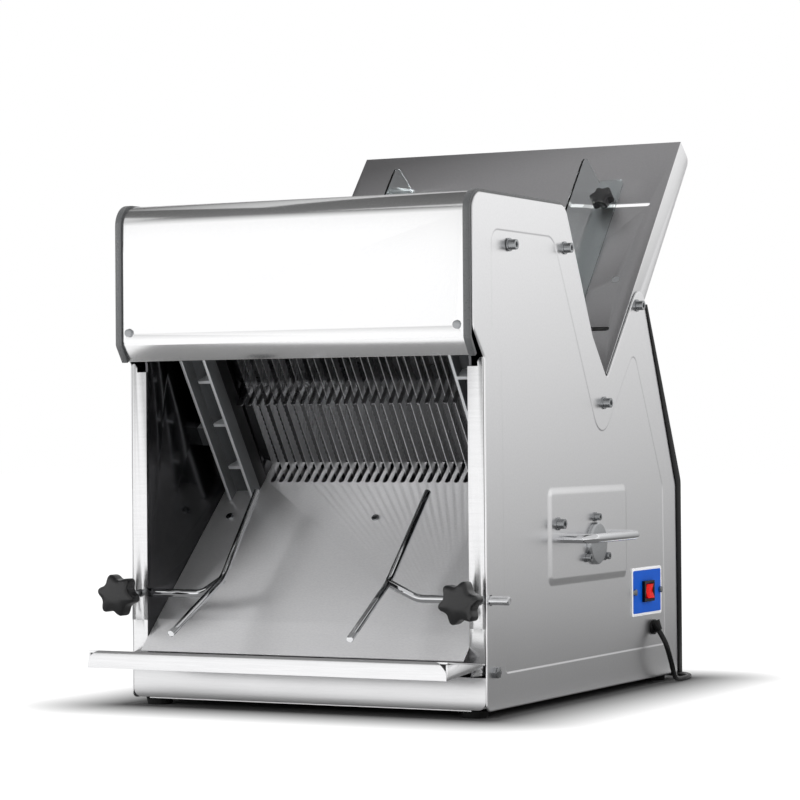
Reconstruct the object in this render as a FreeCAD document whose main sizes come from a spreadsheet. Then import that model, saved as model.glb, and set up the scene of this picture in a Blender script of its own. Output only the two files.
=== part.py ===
import FreeCAD, Part
import math
import os

# Commercial bread slicer, in millimetres. X runs to the right, Y to the back, Z up.
# Heights are measured from the table; "ahead" and "back" from the front flange plane.

SIZES = {
    # body
    "body_width": 466.0,
    "body_depth": 574.0,
    "foot_height": 8.0,
    "foot_diameter": 32.0,
    "foot_inset": 20.0,
    "panel_top": 585.0,
    "cover_sheet": 2.0,
    "recess_depth": 0.8,
    "pad_rise": 2.4,
    "bottom_rim": 15.0,
    "wall_setback": 22.0,
    "wall_plate": 3.0,
    "wall_inset": 4.0,
    "flange_sheet": 2.5,
    "flange_top": 392.0,
    "flange_tab": 10.0,
    "tab_width": 6.9,
    "flange_bottom": 62.0,
    "brow_reach": 28.7,
    "brow_low": 401.0,
    "brow_high": 434.0,
    # the V-shaped feed mouth in each side
    "kink_back": 299.6,
    "kink_height": 432.8,
    "mouth_back": 341.6,
    "mouth_height": 382.5,
    "mouth_front_lean": 27.1,
    "mouth_rear_rise": 49.4,
    "peak_back": 450.5,
    "rear_lean": 25.8,
    "edging_reach": 11.0,
    # hood
    "hood_reach": 32.2,
    "hood_top": 586.5,
    "hood_low": 423.4,
    "hood_lip_ahead": 19.0,
    "hood_lip_height": 404.0,
    "hood_sheet": 1.5,
    "hood_rear_height": 526.0,
    "trim_width": 8.0,
    "trim_rise": 2.0,
    # slope of the delivery plate and where the blades cross it
    "plate_rise": 43.25,
    "plate_foot": 80.5,
    "plate_nose": 16.0,
    "plate_sheet": 1.5,
    "cross_back": 199.3,
    "comb_front": 13.7,
    "comb_rear": 22.0,
    "comb_slot": 6.5,
    "comb_clear": 2.0,
    # blades
    "blade_pitch": 12.0,
    "throat_spare": 8.0,
    "blade_lean": 33.94,
    "blade_wide": 12.0,
    "blade_thick": 0.5,
    "blade_spread": 6.4,
    "blade_top": 308.0,
    "blade_drop": 50.0,
    "stroke": 30.0,
    "frame_bar": 10.0,
    "frame_side": 15.0,
    "frame_gap": 3.0,
    "frame_top": 316.0,
    "frame_tail": 75.0,
    # guide rails beside the blades
    "throat_setback": 72.0,
    "rail_width": 36.0,
    "rail_depth": 21.0,
    "rail_wall": 4.0,
    "rail_top": 250.0,
    "strip_depth": 19.6,
    "slide_clear": 0.3,
    # upper comb
    "finger_reach": 14.0,
    "finger_height": 110.6,
    "finger_root": 38.0,
    "upper_length": 205.0,
    # front shelf
    "shelf_setback": 2.25,
    "shelf_reach": 97.8,
    "lip_bottom": 50.6,
    "lip_top": 71.0,
    "shelf_sheet": 2.0,
    # crumb drawer
    "drawer_face_top": 46.0,
    "drawer_clear": 16.0,
    "drawer_setback": 33.0,
    # drive
    "shaft_back": 297.0,
    "shaft_height": 184.0,
    "shaft_diameter": 20.0,
    "shaft_setback": 9.0,
    "eccentric_radius": 28.0,
    "strap_wall": 8.0,
    "rod_thick": 10.0,
    "wrist_drop": 60.0,
    "wrist_diameter": 10.0,
    "bearing_circle": 31.8,
    "bearing_bolt": 6.0,
    "cap_radius": 25.3,
    "big_pulley": 50.0,
    "small_pulley": 20.0,
    "belt_wide": 10.0,
    "belt_high": 6.0,
    "pulley_setback": 98.0,
    "motor_setback": 96.0,
    "motor_height": 110.0,
    "motor_radius": 60.0,
    "motor_length": 200.0,
    # loaf guides on the delivery side
    "guide_rod": 10.0,
    "guide_bar": 8.0,
    "guide_back": 10.0,
    "guide_height": 131.5,
    "guide_setback": 124.0,
    "rod_reach": 23.0,
    "stud_setback": 10.7,
    "knob_diameter": 50.0,
    # feed tray
    "tray_setback": 2.5,
    "tray_rise": 50.45,
    "tray_length": 394.0,
    "tray_sheet": 1.5,
    "tray_flange": 35.6,
    "slot_low": 72.7,
    "slot_high": 284.0,
    "slot_wide": 6.5,
    "slot_length": 152.0,
    "slot_setback": 21.0,
    "loaf_guide_setback": 98.5,
    "loaf_guide_base": 34.5,
    "loaf_guide_height": 60.0,
    "loaf_guide_start": 20.0,
    "loaf_guide_end": 328.0,
    "acrylic": 3.0,
    "stud_offset": 19.5,
    "feed_knob_diameter": 32.0,
    # side fittings
    "bolt": 8.0,
    "handle_rod": 11.0,
    "handle_reach": 36.8,
    "handle_front": 207.4,
    "handle_rear": 347.0,
    "handle_height": 193.0,
    "switch_setback": 113.0,
    "switch_height": 118.0,
    "gland_setback": 92.0,
    "gland_height": 71.8,
    # mains lead
    "cord_diameter": 6.5,
    "coil_radius": 49.0,
    "coil_gap": 1.4,
}

# Sizes that follow from others

LINKED = {
    "wall_gap": "body_width - 2 * wall_setback",
    "throat_half": "body_width / 2 - throat_setback",
    "blade_count": "floor((2 * throat_half - throat_spare) / blade_pitch)",
    "shelf_width": "body_width - 2 * shelf_setback",
    "drawer_half": "body_width / 2 - drawer_setback",
    "shaft_half": "body_width / 2 - shaft_setback",
    "pulley_offset": "body_width / 2 - pulley_setback",
    "motor_back": "body_depth - motor_setback",
    "drawer_depth": "motor_back - motor_radius - 2 - drawer_clear",
    "guide_spread": "body_width / 2 - guide_setback",
    "rod_outer": "body_width / 2 + rod_reach",
    "stud_spread": "body_width / 2 - stud_setback",
    "tray_half": "body_width / 2 - tray_setback",
    "slot_outer": "body_width / 2 - slot_setback",
    "slot_inner": "slot_outer - slot_length",
    "loaf_guide": "body_width / 2 - loaf_guide_setback",
    "guide_stud": "loaf_guide + stud_offset",
    "switch_back": "body_depth - switch_setback",
    "gland_back": "body_depth - gland_setback",
    "tray_back": "mouth_back + 2.4",
    "tray_height": "mouth_height + 6",
    "hood_screw": "body_width / 2 - 18.8",
}

TRAY_SCREW = (202.0, 155.0)
SCREW_SINK = 5.5
X_AXIS = FreeCAD.Vector(1, 0, 0)
Y_AXIS = FreeCAD.Vector(0, 1, 0)
Z_AXIS = FreeCAD.Vector(0, 0, 1)
V = FreeCAD.Vector
FIT = 0.05
SEAT = 0.3

doc = FreeCAD.newDocument("bread_slicer")
sheet = doc.addObject("Spreadsheet::Sheet", "sizes")
cells = {alias: str(number) for alias, number in SIZES.items()}
cells.update({alias: "=" + formula for alias, formula in LINKED.items()})
for row, (alias, entry) in enumerate(cells.items(), start=1):
    sheet.set(f"A{row}", alias)
    sheet.set(f"B{row}", entry)
    sheet.setAlias(f"B{row}", alias)
doc.recompute()
nodes = []


# Angles and helpers for outlines

def rad(angle):
    return math.radians(angle)


def tan(angle):
    return math.tan(rad(angle))


def turn(rise, along, across=0.0):
    """The plan components of a step along a slope and square to it."""
    c = math.cos(rad(rise))
    s = math.sin(rad(rise))
    return along * c - across * s, along * s + across * c


def corner(before, here, after, radius):
    """Tangent points and centre of the arc that rounds one corner."""
    a = V(before[0] - here[0], before[1] - here[1], 0).normalize()
    b = V(after[0] - here[0], after[1] - here[1], 0).normalize()
    half = a.getAngle(b) / 2
    reach = radius / math.tan(half)
    middle = (a + b).normalize() * (radius / math.sin(half))
    p = V(here[0], here[1], 0)
    return p + a * reach, p + b * reach, p + middle


def rounded(points):
    """Line and arc geometry of a closed outline, given as (u, v, radius) corners."""
    count = len(points)
    entries = []
    for i, here in enumerate(points):
        radius = here[2] if len(here) > 2 else 0
        p = V(here[0], here[1], 0)
        if radius > 0:
            start, end, centre = corner(points[i - 1], here, points[(i + 1) % count], radius)
            entries.append((start, end, centre, radius))
        else:
            entries.append((p, p, None, 0))
    geometry = []
    for i, (start, end, centre, radius) in enumerate(entries):
        if centre is not None:
            a = math.atan2(start.y - centre.y, start.x - centre.x)
            b = math.atan2(end.y - centre.y, end.x - centre.x)
            if (b - a) % (2 * math.pi) > math.pi:
                a, b = b, a
            circle = Part.Circle(centre, Z_AXIS, radius)
            geometry.append(Part.ArcOfCircle(circle, a, a + (b - a) % (2 * math.pi)))
        following = entries[(i + 1) % count][0]
        if end.distanceToPoint(following) > 1e-6:
            geometry.append(Part.LineSegment(end, following))
    return geometry


def offset_path(points, distance):
    """An open path moved sideways, to its left for a positive distance."""
    moved = []
    last = len(points) - 1
    for i, here in enumerate(points):
        radius = here[2] if len(here) > 2 else 0
        p = V(here[0], here[1], 0)
        into = V(*points[i][:2], 0) - V(*points[i - 1][:2], 0) if i > 0 else None
        out = V(*points[i + 1][:2], 0) - V(*points[i][:2], 0) if i < last else None
        normals = [V(-d.y, d.x, 0).normalize() for d in (into, out) if d is not None]
        if len(normals) == 1:
            shift = normals[0] * distance
        else:
            total = normals[0] + normals[1]
            shift = total * (2 * distance / total.Length ** 2)
            left_turn = into.cross(out).z > 0
            if radius > 0:
                radius = max(radius - distance if left_turn else radius + distance, 0.2)
        moved.append((p.x + shift.x, p.y + shift.y, radius))
    return moved


def strip(points, thickness):
    """Closed outline of a bent sheet that follows an open path."""
    ends = [(p[0], p[1], p[2] if len(p) > 2 else 0) for p in points]
    ends[0] = (ends[0][0], ends[0][1], 0)
    ends[-1] = (ends[-1][0], ends[-1][1], 0)
    other = offset_path(points, thickness)
    other[0] = (other[0][0], other[0][1], 0)
    other[-1] = (other[-1][0], other[-1][1], 0)
    return ends + other[::-1]


def rectangle(u0, v0, u1, v1, radius=0.0):
    return [(u0, v0, radius), (u1, v0, radius), (u1, v1, radius), (u0, v1, radius)]


def circle_edges(points, radius):
    return [Part.Circle(V(u, v, 0), Z_AXIS, radius) for u, v in points]


# Placements

def in_tray(v, h):
    """Back and height of a point on the feed tray, from its low edge and its face."""
    back, height = turn(sheet.tray_rise, v, h)
    return sheet.tray_back + back, sheet.tray_height + height


TRAY_CORNER = 10.0
BAR_LOW = (115.0, -102.0, 93.0)
rear_reach = in_tray(sheet.tray_length - TRAY_CORNER, TRAY_CORNER - sheet.tray_flange)[0] + TRAY_CORNER
front_reach = BAR_LOW[1] - sheet.guide_bar / 2 * math.sin(rad(29.0))
y_shift = -(rear_reach + front_reach) / 2
cross_height = sheet.plate_foot + sheet.cross_back * tan(sheet.plate_rise)


def at(x=0.0, back=0.0, height=0.0, tilt=0.0):
    """Placement of a piece, its Y axis tipped up by tilt degrees."""
    return FreeCAD.Placement(V(x, back + y_shift, height), FreeCAD.Rotation(X_AXIS, tilt))


def blade_point(n, s):
    """Back and height of a point in the blades' frame: n behind them, s along them."""
    back, height = turn(sheet.blade_lean, n, s)
    return sheet.cross_back + back, cross_height + height


plain = at()
in_blades = at(0, sheet.cross_back, cross_height, sheet.blade_lean)
in_plate = at(0, sheet.cross_back, cross_height, sheet.plate_rise)
on_tray = at(0, sheet.tray_back, sheet.tray_height, sheet.tray_rise)


# Ways of making a document object

def origin_plane(body, role):
    return next(f for f in body.Origin.OriginFeatures if f.Role == role)


def sketch(body, plane, geometry, name):
    made = body.newObject("Sketcher::SketchObject", name)
    made.AttachmentSupport = (origin_plane(body, plane), [""])
    made.MapMode = "FlatFace"
    for item in geometry:
        made.addGeometry(item, False)
    return made


def padded(name, plane, geometry, length, placement, back=False, centred=False):
    """A body with one sketch padded by a length taken from the sheet."""
    body = doc.addObject("PartDesign::Body", name)
    outline = sketch(body, plane, geometry, name + "_outline")
    pad = body.newObject("PartDesign::Pad", name + "_pad")
    pad.Profile = outline
    pad.setExpression("Length", length)
    pad.Reversed = back
    pad.Midplane = centred
    body.Placement = placement
    doc.recompute()
    return body


def add_pad(body, plane, geometry, length, name, back=False, offset=0.0):
    outline = sketch(body, plane, geometry, name + "_outline")
    outline.AttachmentOffset = FreeCAD.Placement(V(0, 0, offset), FreeCAD.Rotation())
    pad = body.newObject("PartDesign::Pad", name)
    pad.Profile = outline
    pad.setExpression("Length", length)
    pad.Reversed = back
    doc.recompute()
    return pad


def add_pocket(body, plane, geometry, length, name, back=False, offset=0.0):
    """Cuts a sketch into the body and checks that something was cut."""
    before = body.Shape.Volume
    outline = sketch(body, plane, geometry, name + "_outline")
    outline.AttachmentOffset = FreeCAD.Placement(V(0, 0, offset), FreeCAD.Rotation())
    cut = body.newObject("PartDesign::Pocket", name)
    cut.Profile = outline
    cut.setExpression("Length", length)
    cut.Reversed = back
    doc.recompute()
    if body.Shape.Volume >= before - 0.1:
        raise RuntimeError(f"{name} cut nothing")
    return cut


def repeat(body, feature, axis_role, spacing, count, name):
    """A linear pattern of one feature along an origin axis of its body."""
    pattern = body.newObject("PartDesign::LinearPattern", name)
    pattern.Originals = [feature]
    pattern.Direction = (origin_plane(body, axis_role), [""])
    pattern.Mode = "Spacing"
    pattern.setExpression("Offset", spacing)
    pattern.setExpression("Occurrences", count)
    body.Tip = pattern
    doc.recompute()
    return pattern


def turned(name, profile, placement, axis="X_Axis", plane="XY_Plane"):
    """A body turned from a half profile around one of its axes."""
    body = doc.addObject("PartDesign::Body", name)
    outline = sketch(body, plane, profile, name + "_profile")
    made = body.newObject("PartDesign::Revolution", name + "_turning")
    made.Profile = outline
    made.ReferenceAxis = (origin_plane(body, axis), [""])
    made.Angle = 360
    body.Placement = placement
    doc.recompute()
    return body


def feature(name, shape, placement=None):
    made = doc.addObject("Part::Feature", name)
    made.Shape = shape
    if placement is not None:
        made.Placement = placement.multiply(made.Placement)
    return made


def mirrored(name, source):
    """The left-hand twin of a right-hand piece."""
    made = doc.addObject("Part::Mirroring", name)
    made.Source = source
    made.Normal = X_AXIS
    made.Base = V(0, 0, 0)
    doc.recompute()
    return made


def node(obj, name):
    """Names a finished sub-part, which becomes one file."""
    obj.Label = name
    nodes.append((name, obj))
    return obj


# Ways of making a plain shape

def block(x0, x1, y0, y1, z0, z1):
    return Part.makeBox(x1 - x0, y1 - y0, z1 - z0, V(x0, y0, z0))


def disc(x0, x1, y, z, radius):
    """A cylinder along X."""
    return Part.makeCylinder(radius, x1 - x0, V(x0, y, z), X_AXIS)


def post(x, y0, y1, z, radius):
    """A cylinder along Y."""
    return Part.makeCylinder(radius, y1 - y0, V(x, y0, z), Y_AXIS)


def prism(points, x0, x1):
    """A Y-Z outline with rounded corners, drawn out along X."""
    wire = Part.Wire(Part.__sortEdges__([g.toShape() for g in rounded(points)]))
    face = Part.Face(wire)
    face.transformShape(FreeCAD.Placement(V(), FreeCAD.Rotation(V(1, 1, 1), 120)).toMatrix())
    face.translate(V(x0, 0, 0))
    return face.extrude(V(x1 - x0, 0, 0))


def fuse(shapes):
    joined = shapes[0].multiFuse(shapes[1:]) if len(shapes) > 1 else shapes[0]
    return joined.removeSplitter()


def both_sides(shape):
    return [shape, shape.mirror(V(0, 0, 0), X_AXIS)]


def tangent_arc(start, tangent, end):
    """The arc that leaves start along tangent and arrives at end."""
    chord = end - start
    bend = tangent.getAngle(chord)
    if bend < 1e-4:
        return Part.LineSegment(start, end).toShape()
    across = (tangent - chord * (tangent.dot(chord) / chord.dot(chord))).normalize()
    middle = (start + end) * 0.5 + across * (chord.Length / 2 * math.tan(bend / 2))
    return Part.Arc(start, middle, end).toShape()


def biarc(start, leave, end, arrive):
    """Two arcs that meet smoothly between two points with set directions."""
    step = end - start
    total = leave + arrive
    spread = 2 * (1 - leave.dot(arrive))
    if spread < 1e-6:
        reach = step.dot(step) / (4 * step.dot(leave))
    else:
        slope = step.dot(total)
        reach = (math.sqrt(slope * slope + spread * step.dot(step)) - slope) / spread
    joint = (start + leave * reach + end - arrive * reach) * 0.5
    back = tangent_arc(end, arrive * -1, joint)
    return [tangent_arc(start, leave, joint), back]


def route_edges(points, radii=None, share=0.45):
    """Straight runs joined by tangent arcs, and the radii of those arcs."""
    edges = []
    used = []
    last = points[0]
    for i in range(1, len(points) - 1):
        before = (points[i - 1] - points[i])
        after = (points[i + 1] - points[i])
        half = before.getAngle(after) / 2
        shorter = min(before.Length, after.Length)
        radius = radii[i - 1] if radii else share * shorter * math.tan(half)
        reach = radius / math.tan(half)
        start = points[i] + before.normalize() * reach
        end = points[i] + after.normalize() * reach
        edges.append(Part.LineSegment(last, start).toShape())
        edges.append(tangent_arc(start, before * -1, end))
        used.append(radius)
        last = end
    edges.append(Part.LineSegment(last, points[-1]).toShape())
    return edges, used


def pipe(edges, radius, start, direction):
    path = Part.Wire(edges)
    ring = Part.Wire(Part.makeCircle(radius, start, direction))
    return path.makePipeShell([ring], True, False)


def bent_rod(points, radius, radii):
    edges, used = route_edges(points, radii)
    return pipe(edges, radius, points[0], points[1] - points[0])


def star(radius, thick, lobes=6):
    """A lobed knob standing on the X-Y plane, hollow between its lobes and crowned on top."""
    knob = Part.makeCylinder(radius, thick)
    scoop = radius * 0.62
    away = radius * 0.8 + scoop
    for i in range(lobes):
        angle = 2 * math.pi * (i + 0.5) / lobes
        centre = V(away * math.cos(angle), away * math.sin(angle), -1)
        knob = knob.cut(Part.makeCylinder(scoop, thick + 2, centre))
    tips = [e for e in knob.Edges if e.BoundBox.ZLength > thick * 0.9 and e.BoundBox.DiagonalLength < thick * 1.01]
    tips = [e for e in tips if math.hypot(e.CenterOfMass.x, e.CenterOfMass.y) > radius * 0.9]
    knob = knob.makeFillet(radius * 0.1, tips)
    dome_radius = radius * 3
    dome = Part.makeSphere(dome_radius, V(0, 0, thick - dome_radius))
    return knob.common(dome)


# Side outline, shared by the covers, walls, trims and rear cover

half_body = sheet.body_width / 2
cover_in = half_body - sheet.cover_sheet
wall_in = sheet.wall_gap / 2
wall_out = wall_in + sheet.wall_plate
recess_face = half_body - sheet.recess_depth
pad_face = recess_face + sheet.pad_rise
mouth = (sheet.mouth_back, sheet.mouth_height)
kink = (sheet.kink_back, sheet.kink_height)
brow_top_back = kink[0] - (sheet.panel_top - kink[1]) * tan(sheet.mouth_front_lean)
peak = (sheet.peak_back, mouth[1] + (sheet.peak_back - mouth[0]) * tan(sheet.mouth_rear_rise))
bend = (sheet.body_depth, peak[1] - (sheet.body_depth - peak[0]) / tan(sheet.rear_lean))
bottom = sheet.foot_height


def side_outline():
    return [
        (0, bottom, 8),
        (0, sheet.brow_low, 8),
        (-sheet.brow_reach, sheet.brow_high, 14),
        (-sheet.brow_reach, sheet.panel_top, 20),
        (brow_top_back, sheet.panel_top, 20),
        (kink[0], kink[1], 3),
        (mouth[0], mouth[1], 5),
        (peak[0], peak[1], 23),
        (bend[0], bend[1], 20),
        (sheet.body_depth, bottom, 4),
    ]


BOLT_PLACES = [
    (64.8, sheet.panel_top - 55),
    (brow_top_back - 4, sheet.panel_top - 50.6),
    (mouth[0] - 10.7, mouth[1] - 29.8),
    (peak[0] - 14.7, peak[1] - 35.2),
    (sheet.cross_back - 10.7, 210.8),
]
PAD = (164.0, 138.0, 401.0, 254.0)
SHELF_BOLT = (19.4, 50.9)


def bearing_bolts():
    angles = [90.0, 210.0, 330.0]
    ring = sheet.bearing_circle
    return [(sheet.shaft_back + ring * math.cos(rad(a)), sheet.shaft_height + ring * math.sin(rad(a)))
            for a in angles]


# Outer side covers: pressed sheet with a sunk field and a raised square

def side_cover(name, with_switch):
    body = padded(name, "YZ_Plane", rounded(side_outline()), "sizes.cover_sheet", at(cover_in))
    brow = 46.2 - sheet.brow_reach
    top = sheet.panel_top - 38
    field = [
        (46, 46.5, 8),
        (42, sheet.brow_low + 3, 10),
        (brow, sheet.brow_high + 4, 10),
        (brow, top, 18),
        (brow_top_back - 34.2, top, 26),
        (mouth[0] - 19.6, mouth[1] - 79.5, 26),
        (peak[0] - 23.5, peak[1] - 88.5, 14),
        (bend[0] - 56, bend[1] - 5, 20),
        (bend[0] - 52, 46.5, 8),
    ]
    outer = sheet.cover_sheet - sheet.recess_depth
    add_pocket(body, "YZ_Plane", rounded(field), "sizes.recess_depth", name + "_field", True, outer)
    square = rectangle(*PAD, 12)
    add_pad(body, "YZ_Plane", rounded(square), "sizes.pad_rise", name + "_square", False, outer)
    holes = circle_edges(BOLT_PLACES + [SHELF_BOLT], sheet.bolt / 2 + SEAT)
    holes += circle_edges(bearing_bolts(), sheet.bearing_bolt / 2 + SEAT)
    holes += circle_edges([(sheet.guide_back, sheet.guide_height)], sheet.guide_rod / 2 + 0.5)
    holes += circle_edges([(sheet.shaft_back, sheet.shaft_height)], sheet.shaft_diameter / 2 + 4)
    if with_switch:
        holes += circle_edges([(sheet.gland_back, sheet.gland_height)], 6.2)
        holes += rounded(rectangle(sheet.switch_back - 14, sheet.switch_height - 11,
                                   sheet.switch_back + 14, sheet.switch_height + 11))
    add_pocket(body, "YZ_Plane", holes, "3 * sizes.pad_rise", name + "_holes", True)
    rim = rectangle(-sheet.bottom_rim, 12, 0, sheet.body_depth - 10)
    add_pad(body, "XY_Plane", rounded(rim), "sizes.cover_sheet", name + "_rim", False, bottom)
    return body


# Inner side walls with their front and mouth flanges

def wall_shape():
    shape = prism(side_outline(), wall_in, wall_out)
    wire = Part.Wire(Part.__sortEdges__([g.toShape() for g in rounded(side_outline())]))
    inner = Part.Face(wire.makeOffset2D(-sheet.wall_inset))
    inner.transformShape(FreeCAD.Placement(V(), FreeCAD.Rotation(V(1, 1, 1), 120)).toMatrix())
    inner.translate(V(wall_in, 0, 0))
    plate = inner.extrude(V(sheet.wall_plate, 0, 0))
    flange_out = cover_in - SEAT * 2
    flange_low, flange_high = sheet.flange_bottom, sheet.flange_top
    tab_in = flange_out - sheet.tab_width
    tab_top = flange_high + sheet.flange_tab
    flange_face = Part.Face(Part.makePolygon([
        V(wall_in, 0, flange_low), V(flange_out, 0, flange_low), V(flange_out, 0, tab_top),
        V(tab_in + 3, 0, tab_top), V(tab_in, 0, tab_top - 5), V(tab_in, 0, flange_high),
        V(wall_in, 0, flange_high), V(wall_in, 0, flange_low)]))
    flange = flange_face.extrude(V(0, sheet.flange_sheet, 0))
    filler = shape.common(block(wall_in, wall_out, 0, 12, flange_low, flange_high))
    lean = sheet.mouth_front_lean
    start = (kink[0] - 3 * math.sin(rad(lean)), kink[1] + 3 * math.cos(rad(lean)))
    length = (sheet.hood_rear_height - 8 - start[1]) / math.cos(rad(lean))
    lip = block(wall_in, flange_out, -3 - 1.5, -3, 0, length)
    lip.Placement = FreeCAD.Placement(V(0, start[0], start[1]), FreeCAD.Rotation(X_AXIS, lean))
    whole = fuse([plate, flange, filler, lip])
    # nothing of the wall stands above the feed tray
    over = block(wall_in - 5, half_body, -6, 460, -sheet.tray_sheet - 0.5, 120)
    over.Placement = FreeCAD.Placement(V(0, sheet.tray_back, sheet.tray_height),
                                       FreeCAD.Rotation(X_AXIS, sheet.tray_rise))
    whole = whole.cut(over)
    # room for the nuts of the loaf guides, which slide along under the tray
    nuts = block(wall_in - 5, half_body, sheet.slot_low - 10, sheet.slot_low + 10, -11, 0)
    nuts.Placement = over.Placement
    whole = whole.cut(nuts)
    drawer_notch = block(wall_in - 1, wall_out + 1, -1, 3.2, 0, sheet.drawer_face_top + 4)
    cuts = [drawer_notch]
    for back, height in BOLT_PLACES:
        cuts.append(disc(wall_in - 1, wall_out + 1, back, height, sheet.bolt / 2 + SEAT))
    for back, height in bearing_bolts():
        cuts.append(disc(wall_in - 1, wall_out + 1, back, height, sheet.bearing_bolt / 2 + SEAT))
    cuts.append(disc(wall_in - 1, wall_out + 1, sheet.shaft_back, sheet.shaft_height, sheet.shaft_diameter / 2 + 3))
    cuts.append(disc(wall_in - 1, wall_out + 1, sheet.guide_back, sheet.guide_height, sheet.guide_rod / 2 + 0.1))
    cuts.append(post(sheet.stud_spread, -1, 4, sheet.guide_height, 4 + SEAT))
    for cut in cuts:
        whole = whole.cut(cut)
    return whole


# Base, feet and cross bars

def base_pieces():
    plate = doc.addObject("Part::Box", "floor_sheet")
    plate.setExpression("Length", "sizes.wall_gap - 0.4")
    plate.setExpression("Width", "sizes.body_depth - 8")
    plate.Height = 2.0
    plate.Placement = at(-wall_in + 0.2, 3.6, bottom)
    node(plate, "base_plate")
    feet = []
    reach = wall_in - 4
    for x in (-reach, reach):
        for back in (sheet.foot_inset, sheet.body_depth - sheet.foot_inset - 12):
            foot = Part.makeCone(sheet.foot_diameter / 2 - 1.5, sheet.foot_diameter / 2, sheet.foot_height,
                                 V(x, back, 0))
            feet.append(foot)
    node(feature("feet", Part.makeCompound(feet), plain), "feet")


def cross_bars():
    bars = []
    for back, height in BOLT_PLACES:
        bar = disc(-wall_in + 0.05, wall_in - 0.05, back, height, sheet.bolt / 2 + 2)
        for hole in both_sides(disc(wall_in - 18, wall_in + 1, back, height, sheet.bolt / 2 + FIT)):
            bar = bar.cut(hole)
        bars.append(bar)
    node(feature("cross_bars", Part.makeCompound(bars), plain), "cross_bars")


def socket_bolt(face, tip, back, height, size):
    """A cap screw with a hexagon socket and a washer, lying along X."""
    top = face + 1.6 + size
    washer = disc(face, face + 1.6, back, height, 0.96 * size)
    head = disc(face + 1.6, top, back, height, 0.74 * size)
    key = 0.42 * size
    corners = [V(top - size / 2, back + key * math.cos(rad(60 * k)), height + key * math.sin(rad(60 * k)))
               for k in range(7)]
    socket = Part.Face(Part.makePolygon(corners)).extrude(V(size, 0, 0))
    shank = disc(tip, face + 2, back, height, size / 2)
    return fuse([washer, head, shank]).cut(socket)


def side_bolts():
    made = []
    for back, height in BOLT_PLACES:
        on_square = PAD[0] < back < PAD[2] and PAD[1] < height < PAD[3]
        face = pad_face if on_square else half_body
        made += both_sides(socket_bolt(face, wall_in - 16, back, height, sheet.bolt))
    for back, height in bearing_bolts():
        made += both_sides(socket_bolt(pad_face, wall_out + 2, back, height, sheet.bearing_bolt))
    hexagon = Part.Face(Part.makePolygon([V(half_body, SHELF_BOLT[0] + 7 * math.cos(rad(60 * k)),
                                            SHELF_BOLT[1] + 7 * math.sin(rad(60 * k))) for k in range(7)]))
    head = hexagon.extrude(V(5, 0, 0))
    shank = disc(cover_in - 10, half_body + 1, *SHELF_BOLT, sheet.bolt / 2)
    made += both_sides(fuse([head, shank]))
    node(feature("side_bolts", Part.makeCompound(made), plain), "side_bolts")


# Hood over the blade frames, its end trims and rear closing

def hood_path(gap=0.0):
    """The hood's outer line, from its lower lip over the top to its rear edge."""
    lean = sheet.mouth_front_lean
    rear_back = kink[0] - (sheet.hood_rear_height - kink[1]) * tan(lean)
    top_back = kink[0] - (sheet.hood_top - kink[1]) * tan(lean)
    path = [
        (-sheet.hood_lip_ahead, sheet.hood_lip_height),
        (-sheet.hood_reach, sheet.hood_low, 3),
        (-sheet.hood_reach, sheet.hood_top, 24),
        (top_back, sheet.hood_top, 22),
        (rear_back, sheet.hood_rear_height),
    ]
    return offset_path(path, -gap) if gap else path


def hood_pieces():
    outline = rounded(strip(hood_path(), -sheet.hood_sheet))
    hood = padded("front_hood", "YZ_Plane", outline, "sizes.body_width - 2 * sizes.cover_sheet "
                  "- 2 * sizes.trim_width - 0.4", plain, centred=True)
    holes = circle_edges([(x, sheet.hood_low + 14) for x in (-sheet.hood_screw, sheet.hood_screw)], 2.2)
    add_pocket(hood, "XZ_Plane", holes, "10", "front_hood_holes", True, sheet.hood_reach - 5)
    node(hood, "front_hood")
    trim_path = offset_path(hood_path(), sheet.trim_rise)
    trims = both_sides(prism(strip(trim_path, -5), cover_in - sheet.trim_width, cover_in - FIT))
    node(feature("hood_trims", Part.makeCompound(trims), plain), "hood_trims")


def rear_pieces():
    down = 24.0
    lean = sheet.rear_lean
    start = (peak[0] + down * math.sin(rad(lean)), peak[1] - down * math.cos(rad(lean)))
    path = [start, (bend[0], bend[1], 20), (sheet.body_depth, bottom + 2.6)]
    inside = offset_path(path, -2.3)
    width = "2 * (sizes.body_width / 2 - sizes.cover_sheet - 2.5)"
    cover = padded("rear_cover", "YZ_Plane", rounded(strip(inside, -1.5)), width, plain, centred=True)
    slots = []
    for column in (-120.0, 0.0, 120.0):
        for row in range(7):
            low = 60 + 16 * row
            slots += rounded(rectangle(column - 35, low, column + 35, low + 5, 2.4))
    add_pocket(cover, "XZ_Plane", slots, "20", "rear_cover_vents", True, -sheet.body_depth - 5)
    node(cover, "rear_cover")
    # black edging that folds from the rear edge over the outside of each cover
    first = (start[0] + 13 * math.sin(rad(lean)), start[1] - 13 * math.cos(rad(lean)))
    trim = [first, (bend[0], bend[1], 20), (sheet.body_depth, bottom)]
    outside = half_body + 1.2
    behind = prism(strip(offset_path(trim, 0.1), 1.5), cover_in - 12, outside)
    inner = [(sheet.body_depth - sheet.edging_reach, bottom), (bend[0] - sheet.edging_reach - 3, bend[1] - 6, 16),
             (first[0] - 4.5, first[1])]
    over = prism(offset_path(trim, 1.6) + inner, half_body + FIT, outside)
    trims = both_sides(fuse([behind, over]))
    node(feature("rear_trims", Part.makeCompound(trims), plain), "rear_trims")


# Delivery plate with the lower comb, feed plate and upper comb

def comb_positions():
    count = int(sheet.blade_count)
    return [(k - (count - 1) / 2) * sheet.blade_pitch for k in range(count)]


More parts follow.
